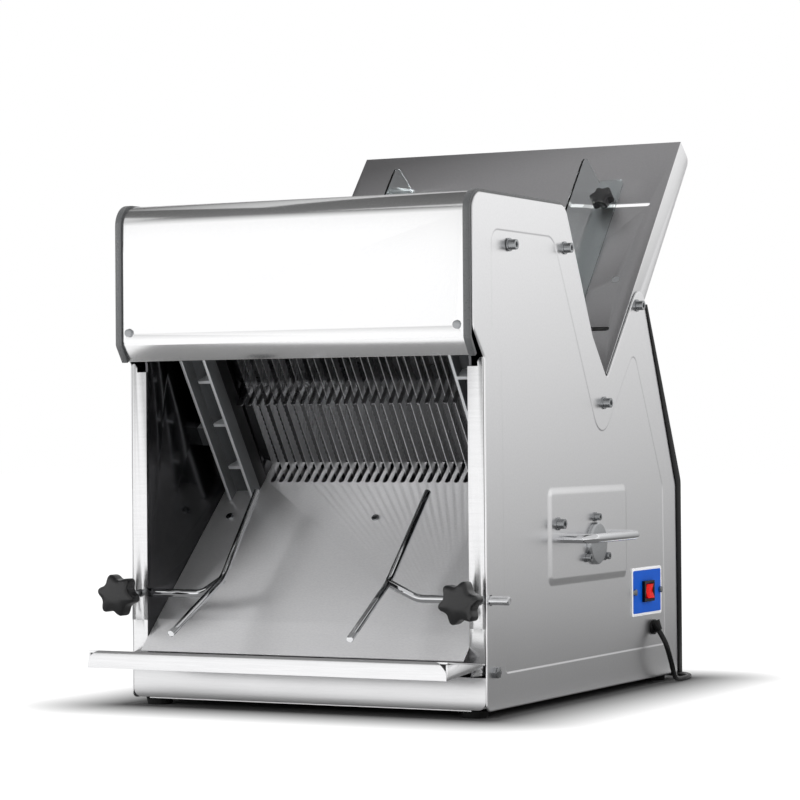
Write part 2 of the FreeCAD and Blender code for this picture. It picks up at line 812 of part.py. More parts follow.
def slot_outline(x, front, rear, wide):
    """A slot that is round in front and open at the back."""
    half = wide / 2
    arc = Part.ArcOfCircle(Part.Circle(V(x, front + half, 0), Z_AXIS, half), math.pi, 2 * math.pi)
    right = Part.LineSegment(V(x + half, front + half, 0), V(x + half, rear, 0))
    end = Part.LineSegment(V(x + half, rear, 0), V(x - half, rear, 0))
    left = Part.LineSegment(V(x - half, rear, 0), V(x - half, front + half, 0))
    return [arc, right, end, left]


def delivery_plate():
    nose = -(sheet.cross_back + sheet.plate_nose) / math.cos(rad(sheet.plate_rise))
    half = wall_in - 0.3
    inner = sheet.throat_half + sheet.comb_clear
    notch = -7.4
    outline = [(-half, nose), (half, nose), (half, notch), (inner, notch), (inner, sheet.comb_rear),
               (-inner, sheet.comb_rear), (-inner, notch), (-half, notch)]
    body = padded("delivery_plate", "XY_Plane", rounded(outline), "sizes.plate_sheet", in_plate, back=True)
    first = comb_positions()[0]
    slot = add_pocket(body, "XY_Plane", slot_outline(first, -sheet.comb_front, sheet.comb_rear + 5, sheet.comb_slot),
                      "3 * sizes.plate_sheet", "delivery_slot")
    repeat(body, slot, "X_Axis", "sizes.blade_pitch", "sizes.blade_count", "delivery_slots")
    node(body, "delivery_plate")


def feed_plate():
    start = sheet.comb_rear + sheet.comb_clear
    back, height = turn(sheet.plate_rise, start, -0.5)
    first = (sheet.cross_back + back, cross_height + height)
    last = in_tray(-1.5, -0.5)
    path = [first, last]
    half = wall_in - 0.3
    shape = prism(strip(path, -sheet.plate_sheet), -half, half)
    node(feature("feed_plate", shape, plain), "feed_plate")


def upper_comb():
    """A plate behind the blades whose fingers reach forward between them."""
    half = sheet.throat_half - 0.3
    body = padded("upper_comb", "XY_Plane", rounded(rectangle(-half, 0, half, sheet.upper_length)),
                  "sizes.plate_sheet", at(0, *blade_point(-sheet.finger_reach, sheet.finger_height),
                                          sheet.tray_rise))
    first = comb_positions()[0]
    near = sheet.comb_slot / 2
    tip = (sheet.blade_pitch - sheet.comb_slot) / 2 - 0.3
    wide = near + tip + 0.2
    outline = rounded([(first - wide, -5), (first + wide, -5), (first + wide, 0), (first + near, 0, tip),
                       (first + near, sheet.finger_root, near - 0.1),
                       (first - near, sheet.finger_root, near - 0.1), (first - near, 0, tip), (first - wide, 0)])
    gap = add_pocket(body, "XY_Plane", outline, "3 * sizes.plate_sheet", "upper_gap", True)
    repeat(body, gap, "X_Axis", "sizes.blade_pitch", "sizes.blade_count", "upper_gaps")
    node(body, "upper_comb")


# Guide rails, slide strips and throat plates, all set in the blades' frame

strip_front = -5.0 - 0.4
strip_deep = strip_front - sheet.strip_depth
rail_front = strip_deep - sheet.rail_depth
bar_back = 5.0 + sheet.frame_gap + sheet.frame_bar


def above_plate(shape, clear=0.4):
    """Trims a shape, given in the blades' frame, to just above the delivery plate."""
    tool = block(-300, 300, -200, 200, -200, clear)
    tool.Placement = FreeCAD.Placement(V(0, 0, 0), FreeCAD.Rotation(X_AXIS, sheet.plate_rise - sheet.blade_lean))
    return shape.cut(tool)


def rail_shape():
    inner = sheet.throat_half
    outer = inner + sheet.rail_width
    wall = sheet.rail_wall
    web = block(inner, outer, strip_deep - wall, strip_deep, -20, sheet.rail_top)
    near = block(inner, inner + wall, rail_front, strip_deep, -20, sheet.rail_top)
    far = block(outer - wall, outer, rail_front, strip_deep, -20, sheet.rail_top)
    parts = [web, near, far]
    # ribs that are widest at the front edge
    narrow = inner + wall + 7
    broad = inner + wall + 16
    for along in (40.0, 102.0, 164.0, 226.0):
        rib = Part.Face(Part.makePolygon([
            V(inner + wall, rail_front, along), V(broad, rail_front, along), V(broad, rail_front + 4, along),
            V(narrow, strip_deep - wall, along), V(inner + wall, strip_deep - wall, along),
            V(inner + wall, rail_front, along)]))
        parts.append(rib.extrude(V(0, 0, 4)))
    for along in (70.0, 195.0):
        parts.append(block(outer, wall_in - 0.05, strip_deep - 14, strip_deep - 2, along, along + 26))
    return above_plate(fuse(parts))


def guide_pieces():
    right = feature("guide_rail", rail_shape(), in_blades)
    node(right, "guide_rail_right")
    node(mirrored("guide_rail_mirror", right), "guide_rail_left")
    inner = sheet.throat_half
    front = above_plate(block(inner, inner + sheet.rail_width, strip_deep, strip_front, -20, sheet.rail_top))
    rear_face = bar_back + sheet.slide_clear
    rear = block(inner + 2, wall_in - 0.05, rear_face, rear_face + 12, 14, sheet.rail_top)
    strips = both_sides(front) + both_sides(rear)
    node(feature("slide_strips", Part.makeCompound(strips), in_blades), "slide_strips")
    profile = [(-5, 0.6), (sheet.comb_rear, 4.8), (66, 9.4), (66, 122, 8), (30, 250), (-5, 250)]
    plates = both_sides(prism(profile, inner + 0.3, inner + 1.8))
    node(feature("throat_plates", Part.makeCompound(plates), in_blades), "throat_plates")


# Reciprocating blade frames, blades and their holders

def frame_shape(front):
    """One rectangular frame; the front frame hangs its bars ahead of its sides."""
    inner = sheet.throat_half + 5
    outer = inner + sheet.frame_side
    low = -5.0 if front else 5.0 + sheet.frame_gap
    high = low + sheet.frame_bar
    side = block(inner, outer, low, high, -sheet.frame_tail, sheet.frame_top)
    bar_low, bar_high = (low - sheet.frame_bar, low) if front else (high, high + sheet.frame_bar)
    parts = both_sides(side)
    parts.append(block(-outer, outer, bar_low, bar_high, sheet.frame_top - 16, sheet.frame_top))
    parts.append(block(-outer, outer, bar_low, bar_high, -58, -42))
    pin = sheet.wrist_diameter / 2
    if front:
        parts += both_sides(disc(outer - 1, rod_plane(True) - 0.5, 0, -sheet.wrist_drop, pin))
    else:
        parts += both_sides(block(inner, outer, high, wrist_rear + 9, -72, -48))
        parts += both_sides(disc(outer - 1, rod_plane(False) - 0.5, wrist_rear, -sheet.wrist_drop, pin))
    return fuse(parts)


def rod_plane(front):
    """Inner face of a connecting rod, counted from the middle of the machine."""
    first = sheet.throat_half + 5 + sheet.frame_side + 1
    return first + (sheet.rod_thick + 2 if front else 0)


# the rear rods swing past the front frame's pins
wrist_rear = sheet.stroke + sheet.wrist_diameter + 6


def blade_offset(front, along):
    """Where a blade's back edge lies at a height, because the two sets cross."""
    lean = sheet.blade_spread / 2 * (along + 50) / (sheet.blade_top + 50)
    return -lean if front else lean


def blade_set(front):
    wanted = comb_positions()[1 if front else 0::2]
    half = sheet.blade_thick / 2
    low, high = -sheet.blade_drop, sheet.blade_top
    blades = []
    holders = []
    for x in wanted:
        n0, n1 = blade_offset(front, low), blade_offset(front, high)
        outline = [(n0, low), (n0 + sheet.blade_wide, low), (n1 + sheet.blade_wide, high), (n1, high)]
        blades.append(prism(outline, x - half, x + half))
        for s0, s1, n in ((-58, -42, n0), (sheet.frame_top - 16, sheet.frame_top, n1)):
            if front:
                holder = block(x + half, x + half + 2, -5, n + 10, s0, s1)
            else:
                holder = block(x + half, x + half + 2, n + 2, bar_back, s0, s1)
            holders.append(holder)
    return Part.makeCompound(blades), Part.makeCompound(holders)


def blade_pieces():
    for front, word in ((True, "front"), (False, "rear")):
        node(feature("frame_" + word, frame_shape(front), in_blades), "blade_frame_" + word)
        blades, holders = blade_set(front)
        node(feature("set_" + word, blades, in_blades), "blades_" + word)
        node(feature("holders_" + word, holders, in_blades), "blade_holders_" + word)


# Drive: shaft, eccentrics, connecting rods, pulleys, belt and motor

def in_frame(back, height):
    """The blades' frame coordinates (n, s) of a point given by back and height."""
    dy = back - sheet.cross_back
    dz = height - cross_height
    c = math.cos(rad(sheet.blade_lean))
    s = math.sin(rad(sheet.blade_lean))
    return dy * c + dz * s, -dy * s + dz * c


shaft_n, shaft_s = in_frame(sheet.shaft_back, sheet.shaft_height)
throw = sheet.stroke / 2


def shaft_profile():
    r = sheet.shaft_diameter / 2
    end = sheet.shaft_half
    return [Part.LineSegment(V(-end, 0, 0), V(-end, r - 1, 0)), Part.LineSegment(V(-end, r - 1, 0), V(-end + 1, r, 0)),
            Part.LineSegment(V(-end + 1, r, 0), V(end - 1, r, 0)), Part.LineSegment(V(end - 1, r, 0), V(end, r - 1, 0)),
            Part.LineSegment(V(end, r - 1, 0), V(end, 0, 0)), Part.LineSegment(V(end, 0, 0), V(-end, 0, 0))]


def eccentric_centre(front):
    return shaft_n + (-throw if front else throw)


def drive_pieces():
    axis = at(0, sheet.shaft_back, sheet.shaft_height)
    node(turned("shaft", shaft_profile(), axis), "main_shaft")
    discs = []
    for front in (True, False):
        x0 = rod_plane(front)
        sheave = disc(x0, x0 + sheet.rod_thick, eccentric_centre(front), shaft_s, sheet.eccentric_radius)
        bore = disc(x0 - 1, x0 + sheet.rod_thick + 1, shaft_n, shaft_s, sheet.shaft_diameter / 2 + 0.01)
        discs += both_sides(sheave.cut(bore))
    node(feature("sheaves", Part.makeCompound(discs), in_blades), "eccentrics")
    for front, word in ((True, "front"), (False, "rear")):
        x0 = rod_plane(front)
        x1 = x0 + sheet.rod_thick
        n = eccentric_centre(front)
        wrist_n = 0.0 if front else wrist_rear
        strap = disc(x0, x1, n, shaft_s, sheet.eccentric_radius + sheet.strap_wall)
        eye = disc(x0, x1, wrist_n, -sheet.wrist_drop, sheet.wrist_diameter / 2 + 4)
        way = V(0, wrist_n - n, -sheet.wrist_drop - shaft_s)
        across = V(0, -way.z, way.y).normalize() * 5
        low = V(x0, n, shaft_s)
        high = V(x0, wrist_n, -sheet.wrist_drop)
        shank = Part.Face(Part.makePolygon([low - across, low + across, high + across, high - across, low - across]))
        rod = fuse([strap, eye, shank.extrude(V(sheet.rod_thick, 0, 0))])
        rod = rod.cut(disc(x0 - 1, x1 + 1, n, shaft_s, sheet.eccentric_radius + FIT))
        rod = rod.cut(disc(x0 - 1, x1 + 1, wrist_n, -sheet.wrist_drop, sheet.wrist_diameter / 2 + FIT))
        node(feature("rods_" + word, Part.makeCompound(both_sides(rod)), in_blades), "connecting_rods_" + word)
    bearing_pieces()
    belt_pieces()


def bearing_pieces():
    back, height = sheet.shaft_back, sheet.shaft_height
    plate = disc(wall_out, wall_out + 7, back, height, sheet.bearing_circle + 9)
    hub = disc(wall_out, cover_in - 1.2, back, height, 22)
    housing = fuse([plate, hub]).cut(disc(wall_out - 1, cover_in, back, height, sheet.shaft_diameter / 2 + FIT))
    for y, z in bearing_bolts():
        housing = housing.cut(disc(wall_out - 1, wall_out + 8, y, z, sheet.bearing_bolt / 2 + FIT))
    node(feature("housings", Part.makeCompound(both_sides(housing)), plain), "bearing_housings")
    cap = disc(pad_face, pad_face + 6, back, height, sheet.cap_radius)
    cap = cap.makeChamfer(2, [e for e in cap.Edges if e.BoundBox.XMin > pad_face + 5])
    node(feature("caps", Part.makeCompound(both_sides(cap)), plain), "bearing_caps")


def pulley_profile(radius, bore):
    """Half profile of a pulley with one square groove, turned about X."""
    half = sheet.belt_wide / 2 + SEAT
    side = half + 3.5
    deep = radius - sheet.belt_high - 2
    corners = [(-side, bore), (side, bore), (side, radius), (half, radius), (half, deep),
               (-half, deep), (-half, radius), (-side, radius)]
    points = [V(x, y, 0) for x, y in corners]
    return [Part.LineSegment(a, b) for a, b in zip(points, points[1:] + points[:1])]


def loop_face(first, r1, second, r2, x):
    """The outline of an open belt round two circles, as a face square to X."""
    way = V(0, second[0] - first[0], second[1] - first[1])
    lean = math.atan2(way.z, way.y)
    spread = math.acos((r1 - r2) / way.Length)

    def rim(centre, radius, angle):
        return V(x, centre[0] + radius * math.cos(angle), centre[1] + radius * math.sin(angle))

    a = [rim(first, r1, lean + spread), rim(first, r1, lean + math.pi), rim(first, r1, lean - spread)]
    b = [rim(second, r2, lean - spread), rim(second, r2, lean), rim(second, r2, lean + spread)]
    edges = [Part.Arc(*a).toShape(), Part.LineSegment(a[2], b[0]).toShape(),
             Part.Arc(*b).toShape(), Part.LineSegment(b[2], a[0]).toShape()]
    return Part.Face(Part.Wire(edges))


def belt_pieces():
    x = -sheet.pulley_offset
    bore = sheet.shaft_diameter / 2 + 0.01
    big = turned("big_wheel", pulley_profile(sheet.big_pulley, bore), at(x, sheet.shaft_back, sheet.shaft_height))
    node(big, "drive_pulley")
    motor_axis = (sheet.motor_back, sheet.motor_height)
    small = turned("small_wheel", pulley_profile(sheet.small_pulley, 7.01), at(x, *motor_axis))
    node(small, "motor_pulley")
    shaft_axis = (sheet.shaft_back, sheet.shaft_height)
    outer, inner = 1.0, 1.0 + sheet.belt_high
    half = sheet.belt_wide / 2
    band = loop_face(shaft_axis, sheet.big_pulley - outer, motor_axis, sheet.small_pulley - outer, x - half)
    hole = loop_face(shaft_axis, sheet.big_pulley - inner, motor_axis, sheet.small_pulley - inner, x - half)
    belt = band.cut(hole).extrude(V(sheet.belt_wide, 0, 0))
    node(feature("belt", belt, plain), "drive_belt")
    start = x + 32
    end = start + sheet.motor_length
    body = disc(start, end, *motor_axis, sheet.motor_radius)
    nose = disc(start - 8, start, *motor_axis, 28)
    box = block(start + 60, start + 130, sheet.motor_back - 35, sheet.motor_back + 35,
                sheet.motor_height + sheet.motor_radius - 8, sheet.motor_height + sheet.motor_radius + 26)
    motor = fuse([body, nose, box]).cut(disc(start - 9, start + 60, *motor_axis, 7 + FIT))
    node(feature("motor_body", motor, plain), "motor")
    node(feature("motor_spindle", disc(x - 9, start + 55, *motor_axis, 7), plain), "motor_shaft")
    saddle_low = bottom + 2
    reach = sheet.motor_radius + 2
    foot = block(start + 20, end - 20, sheet.motor_back - reach, sheet.motor_back + reach, saddle_low, saddle_low + 4)
    cheeks = [block(x0, x0 + 5, sheet.motor_back - 55, sheet.motor_back + 55, saddle_low, sheet.motor_height - 18)
              for x0 in (start + 25, end - 30)]
    bracket = fuse([foot] + cheeks).cut(disc(start, end, *motor_axis, sheet.motor_radius + FIT))
    node(feature("bracket", bracket, plain), "motor_bracket")


# Crumb drawer and its runners

def drawer_pieces():
    low, top = bottom + 3.5, sheet.drawer_face_top
    half = sheet.drawer_half
    face = prism([(0, bottom + 1.5), (2, bottom + 1.5), (2, top), (0, top)], -half_body + 2.3, half_body - 2.3)
    rounding = block(half_body - 12.3, half_body, -1, 3, 0, bottom + 11.5)
    round_corner = post(half_body - 12.3, -1, 3, bottom + 11.5, 10)
    for cut in both_sides(rounding.cut(round_corner)):
        face = face.cut(cut)
    box = block(-half, half, 2, sheet.drawer_depth, low, top - 3)
    space = block(-half + 1.5, half - 1.5, 3.5, sheet.drawer_depth - 1.5, low + 1.5, top)
    rims = both_sides(block(half, half + 5, 6, sheet.drawer_depth, top - 4.5, top - 3))
    drawer = fuse([face, box] + rims).cut(space)
    node(feature("drawer", drawer, plain), "crumb_drawer")
    leg = block(half + 0.8, wall_in - 0.05, 6, sheet.drawer_depth + 8, top - 6.3, top - 4.8)
    web = block(wall_in - 1.6, wall_in - 0.05, 6, sheet.drawer_depth + 8, top - 16, top - 4.8)
    stop = block(half - 6, wall_in - 0.05, sheet.drawer_depth + 0.8, sheet.drawer_depth + 3, top - 6.3, top - 2)
    runners = both_sides(fuse([leg, web, stop]))
    node(feature("runners", Part.makeCompound(runners), plain), "drawer_runners")


# Front shelf

def front_shelf():
    half = sheet.shelf_width / 2
    front = -sheet.shelf_reach
    nose_top = sheet.plate_foot - sheet.plate_nose * tan(sheet.plate_rise)
    rest = nose_top - sheet.plate_sheet / math.cos(rad(sheet.plate_rise)) - 0.2
    path = [(front, sheet.lip_bottom), (front, sheet.lip_top, 3), (-sheet.plate_nose, rest), (20, rest - 3)]
    floor = prism(strip(path, -sheet.shelf_sheet), -half, half)
    behind = block(wall_in - 4, half + 1, -0.4, 30, 0, 100)
    for cut in both_sides(behind):
        floor = floor.cut(cut)
    side_line = [(front + 0.5, sheet.lip_bottom), (-7, sheet.lip_bottom + 6.8), (-7, rest - 1), (front + 0.5, sheet.lip_top - 3)]
    side = prism(side_line, half - sheet.shelf_sheet, half)
    tab = prism([(-30, 50), (30, 47.6), (30, 56, 3), (-9, 60)], half - 2 - sheet.shelf_sheet, half - 2)
    shelf = fuse([floor] + both_sides(side) + both_sides(tab))
    for hole in both_sides(disc(half - 12, half + 1, *SHELF_BOLT, sheet.bolt / 2 + FIT)):
        shelf = shelf.cut(hole)
    radius = 18.0
    for side_sign in (1, -1):
        outer = block(half - radius, half + 1, front - 1, front + 3.2, sheet.lip_top - radius, sheet.lip_top + 1)
        ring = post(half - radius, front - 2, front + 4, sheet.lip_top - radius, radius)
        bite = outer.cut(ring)
        if side_sign < 0:
            bite = bite.mirror(V(0, 0, 0), X_AXIS)
        shelf = shelf.cut(bite)
    node(feature("shelf", shelf, plain), "front_shelf")


# Loaf guides on the delivery side

def guide_rods():
    back, height = sheet.guide_back, sheet.guide_height
    joint = V(sheet.guide_spread, 1.0, 149.0)
    rod = bent_rod([V(sheet.rod_outer, back, height), V(sheet.guide_spread + 33, back, height), joint], sheet.guide_rod / 2, [30])
    top = V(sheet.guide_spread + 5, 92, 250)
    bar = bent_rod([top, joint, V(*BAR_LOW)], sheet.guide_bar / 2, [70])
    rod = rod.cut(disc(sheet.rod_outer - 1, sheet.rod_outer + 1, back, height, 9).cut(
        Part.makeCone(sheet.guide_rod / 2 + 0.01, sheet.guide_rod / 2 - 1, 1.01, V(sheet.rod_outer - 1, back, height), X_AXIS)))
    right = feature("guide_rod", fuse([rod, bar]), plain)
    node(right, "guide_rod_right")
    node(mirrored("guide_rod_mirror", right), "guide_rod_left")
    x = sheet.stud_spread
    clamp = block(wall_out + 0.1, cover_in - 0.6, sheet.flange_sheet + 0.05, 21, height - 12, height + 12)
    clamp = clamp.cut(disc(wall_in, cover_in, back, height, sheet.guide_rod / 2 + FIT))
    clamp = clamp.cut(post(x, 0, back, height, 4 + FIT))
    node(feature("clamps", Part.makeCompound(both_sides(clamp)), plain), "rod_clamps")
    knob = star(sheet.knob_diameter / 2, 20)
    knob.Placement = FreeCAD.Placement(V(x, -36, height), FreeCAD.Rotation(X_AXIS, 90))
    stud = post(x, -37, back - sheet.guide_rod / 2 - 0.1, height, 4)
    collar = post(x, -36, -26, height, 9)
    knob = feature("rod_knob", fuse([knob, stud, collar]), plain)
    node(knob, "rod_knob_right")
    node(mirrored("rod_knob_mirror", knob), "rod_knob_left")


# Feed tray with its sliding loaf guides

def feed_tray():
    half = sheet.tray_half
    long = sheet.tray_length
    body = padded("feed_tray", "XY_Plane", rounded(rectangle(-half, 0, half, long)), "sizes.tray_sheet",
                  on_tray, back=True)
    deep = sheet.tray_flange
    side = [(3, 0), (long, 0), (long, -deep, TRAY_CORNER), (3 + deep, -deep, TRAY_CORNER)]
    add_pad(body, "YZ_Plane", rounded(side), "sizes.tray_sheet", "tray_side_right", True, half)
    add_pad(body, "YZ_Plane", rounded(side), "sizes.tray_sheet", "tray_side_left", False, -half)
    edge = rectangle(-half, -16, half, 0)
    add_pad(body, "XZ_Plane", rounded(edge), "sizes.tray_sheet", "tray_top_edge", False, -long + sheet.tray_sheet)
    slots = []
    ends = sheet.slot_wide / 2
    for v in (sheet.slot_low, sheet.slot_high):
        for side_sign in (-1, 1):
            x0, x1 = sorted((side_sign * sheet.slot_inner, side_sign * sheet.slot_outer))
            slots += rounded(rectangle(x0 - ends, v - ends, x1 + ends, v + ends, ends - 0.01))
    slots += circle_edges([(x, TRAY_SCREW[1]) for x in (-TRAY_SCREW[0], TRAY_SCREW[0])], SCREW_SINK + 0.2)
    add_pocket(body, "XY_Plane", slots, "3 * sizes.tray_sheet", "tray_slots")
    bolt_v, bolt_h = tray_bolt()
    add_pocket(body, "YZ_Plane", circle_edges([(bolt_v, bolt_h)], sheet.bolt / 2 + SEAT), "sizes.body_width + 10",
               "tray_bolt_holes", False, half + 3)
    node(body, "feed_tray")


def tray_bolt():
    """The peak bolt in the tray's own frame."""
    dy = BOLT_PLACES[3][0] - sheet.tray_back
    dz = BOLT_PLACES[3][1] - sheet.tray_height
    c = math.cos(rad(sheet.tray_rise))
    s = math.sin(rad(sheet.tray_rise))
    return dy * c + dz * s, -dy * s + dz * c


def feed_guides():
    x0 = sheet.loaf_guide
    thick = sheet.acrylic
    low, start, end = 0.15, sheet.loaf_guide_start, sheet.loaf_guide_end
    tall = sheet.loaf_guide_height
    wall = prism([(start, low, 0), (end - 5, low, 0), (end - 9, tall, 14), (start, tall, 8)], x0, x0 + thick)
    base = Part.Face(Part.Wire(Part.__sortEdges__([g.toShape() for g in rounded([
        (x0 + 0.5, start), (x0 + sheet.loaf_guide_base, start, 8), (x0 + sheet.loaf_guide_base, end, 8), (x0 + 0.5, end)])])))
    base.translate(V(0, 0, low))
    base = base.extrude(V(0, 0, thick))
    guide = fuse([wall, base])
    stud_r = 3.0
    under = -sheet.tray_sheet - 0.15
    solids = []
    for v in (sheet.slot_low, sheet.slot_high):
        guide = guide.cut(Part.makeCylinder(stud_r + 0.2, 10, V(sheet.guide_stud, v, -2)))
    bolt = fuse([Part.makeCylinder(stud_r, 16, V(sheet.guide_stud, sheet.slot_low, under - 6)),
                 Part.makeCylinder(6, 3.5, V(sheet.guide_stud, sheet.slot_low, low + thick)),
                 Part.makeCylinder(7, 5, V(sheet.guide_stud, sheet.slot_low, under - 5))])
    nut = Part.makeCylinder(7, 5, V(sheet.guide_stud, sheet.slot_high, under - 5))
    nut = nut.cut(Part.makeCylinder(stud_r + FIT, 10, V(sheet.guide_stud, sheet.slot_high, under - 6)))
    solids = [guide, bolt, nut]
    right = feature("feed_guide", Part.makeCompound(solids), on_tray)
    node(right, "feed_guide_right")
    node(mirrored("feed_guide_mirror", right), "feed_guide_left")
    knob = star(sheet.feed_knob_diameter / 2, 17)
    knob.translate(V(0, 0, 9))
    stud = Part.makeCylinder(stud_r, 18, V(0, 0, under - 7))
    neck = Part.makeCylinder(7, 9 - low - thick, V(0, 0, low + thick + 0.1))
    knob = fuse([knob, neck, stud])
    knob.translate(V(sheet.guide_stud, sheet.slot_high, 0))
    right = feature("feed_knob", knob, on_tray)
    node(right, "feed_knob_right")
    node(mirrored("feed_knob_mirror", right), "feed_knob_left")


# Side fittings: handles, switch, screws

def handles():
    x = half_body + sheet.handle_reach
    z = sheet.handle_height
    front, rear = sheet.handle_front, sheet.handle_rear
    points = [V(pad_face, front, z), V(x, front, z), V(x, rear, z), V(pad_face, rear, z)]
    right = feature("handle", bent_rod(points, sheet.handle_rod / 2, [13, 13]), plain)
    node(right, "carry_handle_right")
    node(mirrored("handle_mirror", right), "carry_handle_left")


def switch_pieces():
    back, height = sheet.switch_back, sheet.switch_height
    plate = padded("switch_plate", "YZ_Plane", rounded(rectangle(-48, -30, 48, 30, 4)), "sizes.cover_sheet * 0.6",
                   at(recess_face, back, height))
    add_pocket(plate, "YZ_Plane", rounded(rectangle(-14, -11, 14, 11)) + circle_edges([(-41, 0), (41, 0)], 2.0),
               "5", "switch_window", True)
    node(plate, "switch_plate")
    face = recess_face + sheet.cover_sheet * 0.6
    frame = block(face, face + 4, back - 16, back + 16, height - 13, height + 13)
    shell = block(cover_in - 13, face, back - 13.7, back + 13.7, height - 10.7, height + 10.7)
    hollow = block(face - 6, face + 5, back - 11.5, back + 11.5, height - 9.9, height + 9.9)
    pivot_x = face + 0.5
    pivot = Part.makeCylinder(1.2, 25.4, V(pivot_x, back - 12.7, height), Y_AXIS)
    socket = Part.makeCylinder(1.2 + FIT, 25.8, V(pivot_x, back - 12.9, height), Y_AXIS)
    case = fuse([frame, shell]).cut(hollow).cut(socket)
    node(feature("switch_case", case, plain), "switch_body")
    outline = [(-8.7, -2), (8.7, -2), (8.7, 4.2), (0, 2.4), (-8.7, 5.6)]
    key = Part.Face(Part.makePolygon([V(pivot_x + h, back - 10.5, height + v) for v, h in outline + outline[:1]]))
    node(feature("rocker", fuse([key.extrude(V(0, 21, 0)), pivot]), plain), "switch_rocker")


def panel_screws():
    """Pan-head screws: two in the hood, two in the delivery plate, two in the switch plate, two in the tray."""
    made = []
    for x in (18.8 - half_body, half_body - 18.8):
        head = post(x, -sheet.hood_reach - 2, -sheet.hood_reach, sheet.hood_low + 14, 4.5)
        made.append(fuse([head, post(x, -sheet.hood_reach - 1, -sheet.hood_reach + 3, sheet.hood_low + 14, 2)]))
    plate_turn = FreeCAD.Placement(V(0, sheet.cross_back, cross_height), FreeCAD.Rotation(X_AXIS, sheet.plate_rise))
    for x in (-184.0, 17.0):
        head = Part.makeCylinder(4.5, 2, V(x, -74, 0))
        head.Placement = plate_turn.multiply(head.Placement)
        made.append(head)
    face = recess_face + sheet.cover_sheet * 0.6
    for back in (sheet.switch_back - 41, sheet.switch_back + 41):
        made.append(fuse([disc(face, face + 3, back, sheet.switch_height, 4),
                          disc(face - 1.1, face + 1, back, sheet.switch_height, 1.9)]))
    tray_turn = FreeCAD.Placement(V(0, sheet.tray_back, sheet.tray_height), FreeCAD.Rotation(X_AXIS, sheet.tray_rise))
    for x in (-TRAY_SCREW[0], TRAY_SCREW[0]):
        y = TRAY_SCREW[1]
        head = Part.makeCone(3, SCREW_SINK, sheet.tray_sheet, V(x, y, -sheet.tray_sheet))
        screw = fuse([head, Part.makeCylinder(3, 9, V(x, y, -9)), Part.makeCylinder(7, 4, V(x, y, -sheet.tray_sheet - 4.05))])
        screw.Placement = tray_turn.multiply(screw.Placement)
        made.append(screw)
    node(feature("screws", Part.makeCompound(made), plain), "panel_screws")


# Mains lead: gland, free stretch, coil and plug

def cord_route():
    """The free stretch, from the gland's mouth down to the table and round to the back."""
    r = sheet.cord_diameter / 2 + 0.05
    side, rear = half_body, sheet.body_depth
    back, height = sheet.gland_back, sheet.gland_height
    return [V(side + 7.5, back, height - 4.8), V(side + 14.6, back + 0.4, height - 15.8),
            V(side + 19, back + 1.5, height - 28.8), V(side + 21.5, back + 8, height - 47.8),
            V(side + 19.5, back + 20, height - 61.3), V(side + 17, back + 36, r), V(side + 18, rear - 29, r),
            V(side + 14, rear - 2, r), V(side - 3, rear + 20, r), V(side - 30, rear + 27, r),
            V(side - 61, rear + 24.5, r), V(side - 92, rear + 28, r), V(side - 121, rear + 26.5, r)]


def cord_pieces():
    radius = sheet.cord_diameter / 2
    points = [p + V(0, y_shift, 0) for p in cord_route()]
    edges, radii = route_edges([V(p) for p in points])
    tube = pipe(edges, radius, points[0], points[1] - points[0])
    length = sum(e.Length for e in edges)
    section = math.pi * radius ** 2
    print("cord radii", [round(x, 1) for x in radii])
    print("cord length", round(length, 1), "volume ratio", round(tube.Volume / (section * length), 4))
    node(feature("cord", tube), "power_cord")
    return points[-1], (points[-1] - points[-2]).normalize()


def gland():
    """A strain relief whose nose points down and outward."""
    back, height = sheet.gland_back, sheet.gland_height
    collar = disc(recess_face, recess_face + 3, back, height, 9.5)
    shank = disc(cover_in - 3, recess_face + 1, back, height, 6)
    nut = disc(cover_in - 4, cover_in - 0.1, back, height, 9)
    mouth_point, following = cord_route()[:2]
    way = (mouth_point - following).normalize() * 12
    nose = Part.makeCone(4.8, 8.2, way.Length, mouth_point, way)
    trimmed = nose.cut(block(0, recess_face, 400, 560, 0, 140))
    node(feature("strain_relief", fuse([collar, shank, nut, trimmed]), plain), "cable_gland")


COIL_TURNS = 3


